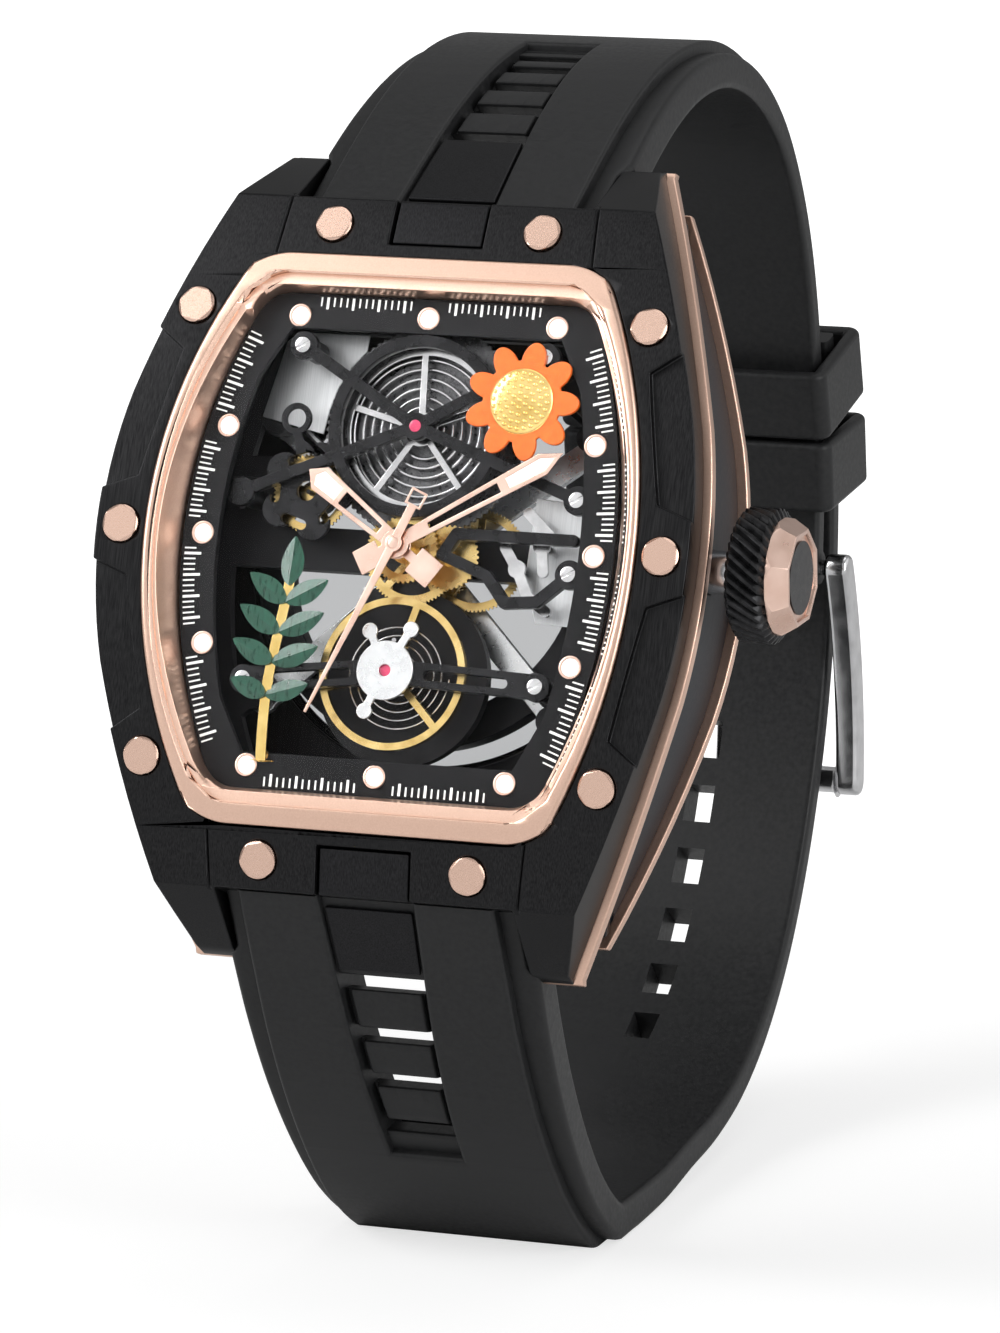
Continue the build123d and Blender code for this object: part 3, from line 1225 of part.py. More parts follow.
with BuildPart() as balance_wheel:
    with BuildSketch(Plane.XY.offset(balance_z - balance_depth)) as shape:
        with Locations((balance_x, balance_y)):
            Circle(balance_radius)
            Circle(balance_radius - balance_rim, mode=Mode.SUBTRACT)
            Circle(balance_hub)
        for step in range(balance_spokes):
            turn = math.radians(balance_spoke_turn + 360 * step / balance_spokes)
            reach = balance_radius - balance_rim / 2
            strip(balance_x, balance_y, balance_x + reach * math.cos(turn),
                  balance_y + reach * math.sin(turn), balance_spoke)
    extrude(shape.sketch, amount=balance_depth)
    rod(arbor_radius, rear_bridge_low_z + fit_gap, bridge_low_z + jewel_sink - pivot_gap,
        ((balance_x, balance_y),))
    rod(roller_radius, roller_z - roller_depth, roller_z, ((balance_x, balance_y),))
    rod(hairspring_inner - hairspring_wire, hairspring_z - 2 * hairspring_wire,
        hairspring_z + 2 * hairspring_wire, ((balance_x, balance_y),))

with BuildPart() as hairspring:
    spiral(hairspring_z, hairspring_inner, hairspring_outer, hairspring_turns, hairspring_wire,
           balance_x, balance_y)
print("hairspring gap between turns",
      round((hairspring_outer - hairspring_inner) / hairspring_turns - 2 * hairspring_wire, 3))

# Keyless levers beside the stem
with BuildPart() as keyless_levers:
    with BuildSketch(Plane.XY.offset(levers_low_z)) as shape:
        for route, stud in zip(lever_routes, lever_studs):
            for (ax, ay), (bx, by) in zip(route, route[1:]):
                strip(ax, ay, bx, by, lever_width)
            with Locations(stud):
                Circle(lever_hub)
    extrude(shape.sketch, amount=levers_depth)


# Hands: open frames with a lume tip, a hub and a square or open tail, each drawn along +Y and turned
def hand_plane(z, turn):
    """The plane of a hand at height z, turned to where it points."""
    across = (math.cos(math.radians(turn)), math.sin(math.radians(turn)), 0)
    return Plane(origin=(0, 0, z), x_dir=across, z_dir=(0, 0, 1))


def blade_shape(length, half, start, tip):
    """Corners of a hand's pointed outline."""
    root = half * blade_root_share
    return [(-root, start), (root, start), (half, length - tip), (0, length), (-half, length - tip)]


def open_hand(z, turn, length, half, tube, tail_reach, tail_half):
    """A skeleton hand with a square tail, in the part that is open."""
    with BuildSketch(hand_plane(z, turn)) as shape:
        with BuildLine():
            Polyline(blade_shape(length, half, 0, tip_share * length), close=True)
        make_face()
        Circle(hand_hub_radius)
        with Locations((0, -tail_reach / 2)):
            Rectangle(tail_neck, tail_reach)
        with Locations((0, -tail_reach)):
            Rectangle(2 * tail_half, 2 * tail_half)
        with BuildLine():
            Polyline(window_shape(length, half, open_start_share, open_end_share), close=True)
        make_face(mode=Mode.SUBTRACT)
        with BuildLine():
            Polyline(blade_window(length, half), close=True)
        make_face(mode=Mode.SUBTRACT)
        Circle(tube + pivot_gap, mode=Mode.SUBTRACT)
    extrude(shape.sketch, amount=hand_depth)


def half_at(length, half, y):
    """Half width of a hand's blade at a height along it."""
    return half * (blade_root_share + (1 - blade_root_share) * min(1.0, y / (length * (1 - tip_share))))


def window_shape(length, half, low_share, high_share):
    """Corners of the open window in a hand."""
    low, high = low_share * length, high_share * length
    wall = hand_wall
    return [(-half_at(length, half, low) + wall, low), (half_at(length, half, low) - wall, low),
            (half_at(length, half, high) - wall, high), (-half_at(length, half, high) + wall, high)]


def blade_window(length, half):
    """Corners of the pointed window that holds the lume."""
    low, high = lume_start_share * length, length * (1 - tip_share)
    wall = hand_wall
    return [(-half_at(length, half, low) + wall, low), (half_at(length, half, low) - wall, low),
            (half - wall, high), (0, length - 2 * wall), (-half + wall, high)]


def lume(z, turn, length, half):
    """The lume insert of a hand, in the part that is open."""
    with BuildSketch(hand_plane(z, turn)) as shape:
        with BuildLine():
            Polyline(blade_window(length, half), close=True)
        make_face()
    extrude(shape.sketch, amount=lume_depth)


with BuildPart() as hour_hand:
    open_hand(hour_hand_z, hour_angle, hour_length, hour_half, minute_tube_radius + pivot_gap,
              hour_tail, hour_tail_half)

with BuildPart() as hour_lume:
    lume(hour_hand_z, hour_angle, hour_length, hour_half)

with BuildPart() as minute_hand:
    open_hand(minute_hand_z, minute_angle, minute_length, minute_half, seconds_arbor_radius + pivot_gap,
              minute_tail, minute_tail_half)

with BuildPart() as minute_lume:
    lume(minute_hand_z, minute_angle, minute_length, minute_half)

with BuildPart() as seconds_hand:
    with BuildSketch(hand_plane(seconds_hand_z, seconds_angle)) as shape:
        with BuildLine():
            Polyline((-seconds_half, 0), (-seconds_half / 3, seconds_length),
                     (seconds_half / 3, seconds_length), (seconds_half, 0), close=True)
        make_face()
        Circle(seconds_hub)
        with Locations((0, -seconds_tail / 2)):
            Rectangle(2 * seconds_half, seconds_tail)
        with Locations((0, -seconds_tail)):
            Rectangle(4 * seconds_half, seconds_tail_box)
            Rectangle(4 * seconds_half - hand_wall, seconds_tail_box - hand_wall, mode=Mode.SUBTRACT)
    extrude(shape.sketch, amount=hand_depth)
    rod(seconds_cap, seconds_hand_z + hand_depth, seconds_hand_z + hand_depth + pivot_gap)

# Crown, its parts, the stem and the tube in the case
with BuildPart() as crown_tube:
    cross_rod(tube_radius, tube_start_x, tube_end_x, 0, stem_z)
    cross_rod(stem_radius + stem_gap, tube_start_x, tube_end_x, 0, stem_z, Mode.SUBTRACT)

crown_end_x = crown_start_x + crown_length
with BuildPart() as crown_grip:
    with BuildSketch(Plane.YZ.offset(crown_start_x)) as ring:
        with BuildLine():
            Polyline([(y, stem_z + z) for y, z in gear_points(crown_radius, crown_grips, crown_grip_depth)],
                     close=True)
        make_face()
    extrude(ring.sketch, amount=crown_length)
    cross_rod(cap_radius, crown_end_x, crown_end_x + collar_length - cap_sink, 0, stem_z)
    cross_rod(crown_bore_radius, crown_start_x, crown_bore_end_x, 0, stem_z, Mode.SUBTRACT)
    cross_rod(stem_radius, crown_bore_end_x, crown_end_x, 0, stem_z, Mode.SUBTRACT)

with BuildPart() as crown_collar:
    cross_rod(collar_radius, crown_end_x, crown_end_x + collar_length, 0, stem_z)
    chamfer(faces().sort_by(Axis.X)[-1].edges(), collar_bevel)
    cross_rod(cap_radius + fit_gap, crown_end_x, crown_end_x + collar_length, 0, stem_z, Mode.SUBTRACT)

with BuildPart() as winding_stem:
    cross_rod(stem_radius, stem_end_x, crown_end_x, 0, stem_z)

# Ornaments: a nine-petalled flower with a dome, and a leafy sprig on a stem
with BuildPart() as flower_petals:
    with BuildSketch(Plane.XY.offset(petal_z - petal_depth)) as shape:
        with Locations((petal_x, petal_y)):
            Circle(petal_reach)
            with PolarLocations(petal_reach, petal_count):
                Ellipse(petal_long, petal_wide)
    extrude(shape.sketch, amount=petal_depth)
    rod(petal_stud_radius, bridge_top_z, petal_z - petal_depth, ((petal_stud_x, petal_stud_y),))

with BuildPart() as flower_dome:
    rod(dome_radius, petal_z, petal_z + dome_height, ((petal_x, petal_y),))
    chamfer(faces().sort_by(Axis.Z)[-1].edges(), dome_height / 2)

with BuildPart() as sprig_leaves:
    with BuildSketch(Plane.XY.offset(leaf_z - leaf_depth)) as shape:
        for x, y, turn, length, width in leaves:
            with BuildLine():
                angle = math.radians(turn)
                ax, ay = math.cos(angle), math.sin(angle)
                middle_x, middle_y = x + ax * length / 2, y + ay * length / 2
                tip = (x + ax * length, y + ay * length)
                ThreePointArc((x, y), (middle_x - ay * width / 2, middle_y + ax * width / 2), tip)
                ThreePointArc(tip, (middle_x + ay * width / 2, middle_y - ax * width / 2), (x, y))
            make_face()
        with Locations((leaf_joint_x, leaf_joint_y)):
            Circle(leaf_joint_radius)
    extrude(shape.sketch, amount=leaf_depth)

with BuildPart() as sprig_stem:
    with BuildSketch(Plane.XY.offset(stem_top_z - stem_depth)) as shape:
        with BuildLine():
            swell = (stem_foot_half - stem_top_half) / (len(stem_route) - 1)
            left = [(x - stem_top_half - swell * step, y) for step, (x, y) in enumerate(stem_route)]
            right = [(x + stem_top_half + swell * step, y) for step, (x, y) in enumerate(stem_route)]
            Spline(left)
            Line(left[-1], right[-1])
            Spline(right)
            Line(right[0], left[0])
        make_face()
    extrude(shape.sketch, amount=stem_depth)
    foot_x, foot_y = stem_route[-1]
    foot_low_z = arc_z(foot_y + stem_top_half, chapter_top_z, dial_radius)
    rod(stem_top_half, foot_low_z, stem_top_z - stem_depth, ((foot_x, foot_y + stem_top_half),))


# Write every piece
pieces = {
    "bezel_plate": bezel_plate, "front_rose_rim": front_rose_rim, "case_band": case_band,
    "rear_rose_rim": rear_rose_rim, "caseback_frame": caseback_frame, "caseback_glass": caseback_glass,
    "caseback_screws": caseback_screws, "dial_frame": dial_frame, "crystal": crystal,
    "inner_ring": inner_ring, "chapter_ring": chapter_ring,
    "marker_rims": marker_rims, "marker_lume": marker_lume, "bezel_screws": bezel_screws,
    "strap_bars": strap_bars, "strap_lower": strap_lower, "strap_upper": strap_upper,
    "strap_links": strap_links, "keeper_fixed": keeper_fixed, "keeper_loose": keeper_loose,
    "buckle_frame": buckle_frame, "buckle_tongue": buckle_tongue,
    "main_plate": main_plate, "movement_ring": movement_ring, "barrel_bridge": barrel_bridge,
    "left_bridge": left_bridge, "right_bridge": right_bridge, "balance_bridge": balance_bridge,
    "regulator": regulator, "jewels": jewels, "movement_screws": movement_screws,
    "rear_bridge": rear_bridge, "rotor_weight": rotor_weight, "barrel_drum": barrel_drum,
    "barrel_cover": barrel_cover, "mainspring": mainspring, "centre_wheel": centre_wheel,
    "hour_wheel": hour_wheel, "minute_wheel": minute_wheel, "third_wheel": third_wheel,
    "fourth_wheel": fourth_wheel, "escape_wheel": escape_wheel, "reduction_wheel": reduction_wheel,
    "pallet_fork": pallet_fork, "balance_wheel": balance_wheel, "hairspring": hairspring,
    "keyless_levers": keyless_levers, "hour_hand": hour_hand, "hour_lume": hour_lume,
    "minute_hand": minute_hand, "minute_lume": minute_lume, "seconds_hand": seconds_hand,
    "crown_tube": crown_tube, "crown_grip": crown_grip, "crown_collar": crown_collar,
    "winding_stem": winding_stem,
    "flower_petals": flower_petals, "flower_dome": flower_dome, "sprig_leaves": sprig_leaves,
    "sprig_stem": sprig_stem,
}
for name, builder in pieces.items():
    finish(builder, name)
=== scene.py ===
import bisect
import bmesh
import bpy
import json
import math
import mathutils
from mathutils import Matrix, Vector


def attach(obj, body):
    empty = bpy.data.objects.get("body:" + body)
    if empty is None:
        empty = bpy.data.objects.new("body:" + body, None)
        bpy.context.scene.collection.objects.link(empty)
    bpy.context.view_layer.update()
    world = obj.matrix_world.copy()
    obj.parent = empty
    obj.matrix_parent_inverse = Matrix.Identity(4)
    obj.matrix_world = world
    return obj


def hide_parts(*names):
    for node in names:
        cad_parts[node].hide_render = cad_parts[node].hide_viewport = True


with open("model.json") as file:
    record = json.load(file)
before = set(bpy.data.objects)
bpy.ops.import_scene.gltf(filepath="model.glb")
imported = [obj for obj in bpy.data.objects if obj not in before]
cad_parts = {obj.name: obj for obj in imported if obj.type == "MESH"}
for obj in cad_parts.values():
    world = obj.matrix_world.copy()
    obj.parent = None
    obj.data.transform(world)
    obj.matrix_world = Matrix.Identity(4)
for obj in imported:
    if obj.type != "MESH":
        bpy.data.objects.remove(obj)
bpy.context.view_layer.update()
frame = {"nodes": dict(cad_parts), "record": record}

# Frame of the watch: u to the crown, v to 12 o'clock, w out of the dial, all in millimetres.
# The case leans back on the foot of its strap, so watch_place turns and moves what is made on the watch.
mm = 0.001
lean = math.radians(19)
hands_at = Vector((0, -25 * mm, 53 * mm))
axis_v = Vector((0, math.sin(lean), math.cos(lean)))
axis_w = Vector((0, -math.cos(lean), math.sin(lean)))
watch_turn = Matrix((Vector((1, 0, 0)), axis_v, axis_w)).transposed()
watch_place = Matrix.Translation(hands_at) @ watch_turn.to_4x4() @ Matrix.Scale(mm, 4)
scene = bpy.context.scene
body_of = {node: body for body, nodes in frame["record"]["behaviour"]["bodies"].items() for node in nodes}


# Case band: a blue-black satin ring that the bezel and the back are screwed to.
# It is milled and brushed from lug to lug, so the grain runs along the 12 to 6 line.
grain_low, grain_high = 0.3, 0.7
coat_gloss, relief_height = 0.08, 0.02
corner_low, corner_high = Vector((10.3, 15.9)), Vector((13.6, 20.2))
corner_steps, corner_turn_low, corner_turn_high = 6, math.radians(12), math.radians(80)
upright_share, upright_least = 0.75, 0.1
merge_gap, flat_turn = 0.01, math.radians(0.6)


def new_material(name):
    """An empty node material with its Principled shader."""
    material = bpy.data.materials.new(name)
    material.use_nodes = True
    return material, material.node_tree, material.node_tree.nodes["Principled BSDF"]


def watch_coordinates(tree, stretch):
    """Object coordinates turned to the watch's own axes and stretched along each."""
    place = tree.nodes.new("ShaderNodeTexCoord")
    turn = tree.nodes.new("ShaderNodeVectorRotate")
    turn.rotation_type = "X_AXIS"
    turn.inputs["Angle"].default_value = lean
    scale = tree.nodes.new("ShaderNodeVectorMath")
    scale.operation = "MULTIPLY"
    scale.inputs[1].default_value = stretch
    tree.links.new(place.outputs["Object"], turn.inputs["Vector"])
    tree.links.new(turn.outputs["Vector"], scale.inputs[0])
    return scale.outputs["Vector"]


def grain_of(tree, stretch, scale, detail=3.0):
    """The value of a grain that is stretched along the watch's axes."""
    texture = tree.nodes.new("ShaderNodeTexNoise")
    texture.inputs["Scale"].default_value = scale
    texture.inputs["Detail"].default_value = detail
    tree.links.new(watch_coordinates(tree, stretch), texture.inputs["Vector"])
    return texture.outputs["Fac"]


def spread(tree, value, low, high):
    """A grain's usual values spread between low and high."""
    ramp = tree.nodes.new("ShaderNodeMapRange")
    ramp.inputs["From Min"].default_value = grain_low
    ramp.inputs["From Max"].default_value = grain_high
    ramp.inputs["To Min"].default_value = low
    ramp.inputs["To Max"].default_value = high
    tree.links.new(value, ramp.inputs["Value"])
    return ramp.outputs["Result"]


def blend_colours(tree, value, first, second):
    """A colour between two by a value."""
    mix = tree.nodes.new("ShaderNodeMix")
    mix.data_type = "RGBA"
    mix.inputs["A"].default_value = (*first, 1)
    mix.inputs["B"].default_value = (*second, 1)
    tree.links.new(value, mix.inputs["Factor"])
    return mix.outputs["Result"]


def finish_of(name, dark, light, metallic, rough, stretch, scale, bump, coat=0.0, specular=0.5):
    """A finish whose grain shows in its colour, its gloss and its relief."""
    material, tree, shader = new_material(name)
    value = grain_of(tree, stretch, scale)
    tree.links.new(blend_colours(tree, spread(tree, value, 0, 1), dark, light), shader.inputs["Base Color"])
    tree.links.new(spread(tree, value, *rough), shader.inputs["Roughness"])
    shader.inputs["Metallic"].default_value = metallic
    shader.inputs["Specular IOR Level"].default_value = specular
    shader.inputs["Coat Weight"].default_value = coat
    shader.inputs["Coat Roughness"].default_value = coat_gloss
    relief = tree.nodes.new("ShaderNodeBump")
    relief.inputs["Strength"].default_value = bump
    relief.inputs["Distance"].default_value = relief_height * mm
    tree.links.new(value, relief.inputs["Height"])
    tree.links.new(relief.outputs["Normal"], shader.inputs["Normal"])
    return material


def into_scene(name, edit, look, slot, body, *nodes):
    """Make a mesh edit a piece that rides on a body and stands for the nodes named."""
    mesh = bpy.data.meshes.new(name)
    edit.to_mesh(mesh)
    edit.free()
    mesh.materials.append(look)
    piece = bpy.data.objects.new(name, mesh)
    scene.collection.objects.link(piece)
    even = piece.modifiers.new("even", "WEIGHTED_NORMAL")
    even.keep_sharp = True
    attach(piece, body)
    if nodes:
        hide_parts(*nodes)
    return piece


def blend_corners(edit, radius):
    """Round the upright edges at the corners of the tonneau opening."""
    to_watch = watch_place.inverted()
    upright = []
    for edge in edit.edges:
        middle = to_watch @ ((edge.verts[0].co + edge.verts[1].co) / 2)
        run = (edge.verts[1].co - edge.verts[0].co).normalized()
        across = corner_low.x < abs(middle.x) < corner_high.x
        along = corner_low.y < abs(middle.y) < corner_high.y
        stands = abs(run.dot(axis_w)) > upright_share and edge.calc_length() > upright_least * mm
        if across and along and stands:
            if corner_turn_low < edge.calc_face_angle(0) < corner_turn_high:
                upright.append(edge)
    bmesh.ops.bevel(edit, geom=upright, offset=radius * mm, offset_type="OFFSET", segments=corner_steps,
                    profile=0.5, affect="EDGES", material=-1, clamp_overlap=False)


def rounded(node, width, look, slot, steps=2, least_turn=30, corner=0):
    """The piece that stands for a node, with its sharp edges rounded to a width in millimetres."""
    edit = bmesh.new()
    edit.from_mesh(frame["nodes"][node].data)
    bmesh.ops.remove_doubles(edit, verts=edit.verts, dist=merge_gap * mm)
    bmesh.ops.dissolve_limit(edit, angle_limit=flat_turn, verts=edit.verts, edges=edit.edges)
    if corner:
        blend_corners(edit, corner)
    sharp = [edge for edge in edit.edges
             if edge.is_manifold and edge.calc_face_angle() > math.radians(least_turn)]
    if width:
        bmesh.ops.bevel(edit, geom=sharp, offset=width * mm, offset_type="OFFSET", segments=steps,
                        profile=0.5, affect="EDGES", material=-1, clamp_overlap=False)
    else:
        for edge in sharp:
            edge.smooth = False
    for face in edit.faces:
        face.smooth = True
    return into_scene(node + "_finished", edit, look, slot, body_of[node], node)


along_case = (60, 60, 0.7)
band_dark = finish_of("band_dark", (0.012, 0.016, 0.022), (0.022, 0.027, 0.036), 0.7, (0.38, 0.48),
                      along_case, 240, 0.08)
rounded("case_band", 0.12, band_dark, "band_dark")

# Rose rims: two thin satin plates, one each side of the case band, that show as a line along its edge.
# They are turned and blasted fine, then polished on their edges.
every_way = (1, 1, 1)
rose_metal = finish_of("rose_metal", (0.78, 0.52, 0.40), (0.84, 0.58, 0.46), 1.0, (0.30, 0.36), every_way,
                       9000, 0.01)
rounded("front_rose_rim", 0.12, rose_metal, "rose_metal")
rounded("rear_rose_rim", 0.12, rose_metal, "rose_metal")

# Back of the case: a satin black frame held by steel screws, round a clear window.
# The screws are polished steel, and the strap bars with their slotted ends are satin black like the frame.
back_metal = finish_of("back_metal", (0.010, 0.010, 0.011), (0.024, 0.024, 0.026), 0.8, (0.3, 0.42),
                       along_case, 240, 0.08)
steel = finish_of("steel", (0.58, 0.58, 0.59), (0.74, 0.74, 0.75), 1.0, (0.14, 0.22), every_way, 900, 0.03)
rounded("caseback_frame", 0.12, back_metal, "back_metal")
rounded("caseback_screws", 0.05, steel, "screw_steel")
rounded("strap_bars", 0.06, back_metal, "back_metal")

# Bezel: a black brushed plate with stepped side pockets, held by ten domed rose screws.
# The brushing runs from 12 to 6, and the edges of the pockets catch the light.
bezel_black = finish_of("bezel_black", (0.008, 0.008, 0.009), (0.024, 0.024, 0.025), 0.8, (0.28, 0.4),
                        along_case, 260, 0.10)
rose_screw = finish_of("rose_screw", (0.78, 0.53, 0.42), (0.82, 0.57, 0.46), 1.0, (0.24, 0.3), every_way,
                        16000, 0.004)
rounded("bezel_plate", 0.12, bezel_black, "bezel_black", corner=1.0)

screw_places = ((19.7, 0.0), (16.6, 15.8), (7.65, 22.2))
screw_radius, screw_depth, screw_proud, screw_crown = 1.3, 1.1, 0.3, 0.08
screw_facets, facet_lean, facet_reach, facet_crease = 6, math.radians(38), 1.12, math.radians(20)
face_radius = 95.0
edit = bmesh.new()
head_place = Matrix.Translation((0, 0, screw_proud - screw_depth / 2))
bmesh.ops.create_cone(edit, cap_ends=True, segments=72, radius1=screw_radius, radius2=screw_radius,
                      depth=screw_depth, matrix=head_place)
top_rim = [edge for edge in edit.edges if all(vert.co.z > 0 for vert in edge.verts)]
bmesh.ops.bevel(edit, geom=top_rim, offset=screw_crown, offset_type="OFFSET", segments=2, profile=0.5,
                affect="EDGES", material=-1)
for step in range(screw_facets):
    around = 2 * math.pi * step / screw_facets
    slope = Vector((math.cos(around) * math.sin(facet_lean), math.sin(around) * math.sin(facet_lean),
                    math.cos(facet_lean)))
    start = Vector((math.cos(around) * facet_reach, math.sin(around) * facet_reach, screw_proud))
    cut = bmesh.ops.bisect_plane(edit, geom=edit.verts[:] + edit.edges[:] + edit.faces[:], plane_co=start,
                                 plane_no=slope, clear_outer=True)["geom_cut"]
    bmesh.ops.contextual_create(edit, geom=[item for item in cut if isinstance(item, bmesh.types.BMEdge)])
one_head = bpy.data.meshes.new("screw_head")
edit.to_mesh(one_head)
edit.free()
edit = bmesh.new()
screw_turn = math.radians(17)
for number, (u, v) in enumerate(screw_places):
    for place_u, place_v in {(u, v), (-u, v), (u, -v), (-u, -v)}:
        w = math.sqrt(face_radius ** 2 - place_v ** 2) - face_radius
        lie = Matrix.Rotation(-math.asin(place_v / face_radius), 4, "X")
        seat = Matrix.Translation((place_u, place_v, w)) @ lie
        fresh = bmesh.new()
        fresh.from_mesh(one_head)
        fresh.transform(watch_place @ seat @ Matrix.Rotation(screw_turn * number * place_u, 4, "Z"))
        placed = bpy.data.meshes.new("screw_placed")
        fresh.to_mesh(placed)
        fresh.free()
        edit.from_mesh(placed)
        bpy.data.meshes.remove(placed)
bpy.data.meshes.remove(one_head)
for edge in edit.edges:
    edge.smooth = edge.calc_face_angle(0) < facet_crease
for face in edit.faces:
    face.smooth = True
into_scene("bezel_screw_heads", edit, rose_screw, "rose_metal_screw", body_of["bezel_screws"],
           "bezel_screws")
rounded("strap_links", 0.15, back_metal, "back_metal")

# Strap: two moulded rubber halves with raised lanes, a sunk channel and a ladder of slots.
# The mould leaves soft edges and a fine satin skin.
rubber = finish_of("rubber", (0.013, 0.0133, 0.014), (0.020, 0.0203, 0.021), 0.0, (0.38, 0.5), every_way,
                   2600, 0.08, 0.0, 0.25)
low_route = ((24.3, -3.7), (28.6, -7.7), (33.0, -12.0), (37.2, -17.0), (40.9, -22.7), (43.5, -28.3),
             (44.8, -34.1), (43.8, -37.9), (42.4, -41.8), (40.6, -46.2), (38.1, -51.2), (35.3, -57.0),
             (31.4, -62.8), (26.2, -67.7), (20.0, -71.3), (13.0, -73.6), (5.6, -74.7), (-1.7, -74.7),
             (-9.0, -73.6), (-16.0, -71.4), (-22.6, -68.3), (-28.6, -64.3))
up_route = ((24.3, -3.7), (28.7, -7.6), (33.0, -11.8), (36.9, -16.6), (40.0, -21.9), (42.1, -27.7),
            (42.9, -33.7), (42.5, -39.6), (40.8, -45.6), (37.7, -51.2), (33.6, -56.1), (28.4, -60.4),
            (22.7, -63.9), (16.9, -66.7), (11.5, -68.6))
low_slots, up_slots = (0.053, 0.0873, 0.1195, 0.1547), (0.0965, 0.142, 0.183, 0.222, 0.253)
low_channel_share, up_channel_share = 0.177, 0.285
hole_last_share, hole_pitch_share, hole_count = 0.831, 0.04, 8
low_holes = [hole_last_share - hole_pitch_share * step for step in range(hole_count)]
head_thick, tail_thick, thin_share = 4.3, 2.8, 0.6
head_half, tail_half, tail_depth = 11.7, 9.0, 74.5
lug_half, lug_end_v = 10.78, 28.42
lane_half, lane_height, margin_least = 9.4, 0.9, 1.3
channel_half, channel_narrow, channel_narrow_v, channel_depth = 3.6, 2.4, 45.5, 0.6
rung_thick, slot_length, slot_lean = 1.5, 1.2, math.tan(math.radians(30))
hole_half, hole_length = 1.1, 3.1
edge_radius, lane_radius, rung_radius, wall_run = 0.55, 0.28, 0.3, 0.02
rung_half, rung_gap = 3.05, 0.8
row_pitch, row_clear, wall_step, ladder_margin = 1.3, 0.25, 0.1, 1.2
channel_column_share, lane_column_share, rim_column = 0.85, 0.6, 1
edge_shares, rung_shares = (0.0, 0.06, 0.3, 0.6, 1.0), (0.0, 0.1, 0.4, 1.0)
hidden_v, head_back_v = 22.3, 27.2
head_shelf_w, head_back_w = -8.1, -11.4
line_points, strap_crease = 13, math.radians(50)
pin_v, pin_w, eye_radius, eye_near = 10.6, -67.6, 1.3, 1.2


def smooth_line(route):
    """A smooth line through a route's points, as close points."""
    points = [Vector(point) for point in route]
    ends = [points[0]] + points + [points[-1]]
    line = []
    for before, start, stop, after in zip(ends, ends[1:], ends[2:], ends[3:]):
        leave, arrive = start + (stop - before) / 6, stop - (after - start) / 6
        line += mathutils.geometry.interpolate_bezier(start, leave, arrive, stop, line_points)[:-1]
    return line + [points[-1]]


def rounding(distance, radius):
    """How far an edge rounded to a radius has dropped at a distance from it."""
    if distance >= radius:
        return 0.0
    return radius - math.sqrt(radius ** 2 - (radius - max(distance, 0.0)) ** 2)


def rounding_at(place, radius, inward):
    """The lines that a rounded edge at a place needs, on its inward side, with its wall."""
    return [place + inward * radius * part for part in edge_shares] + [place - inward * wall_run]


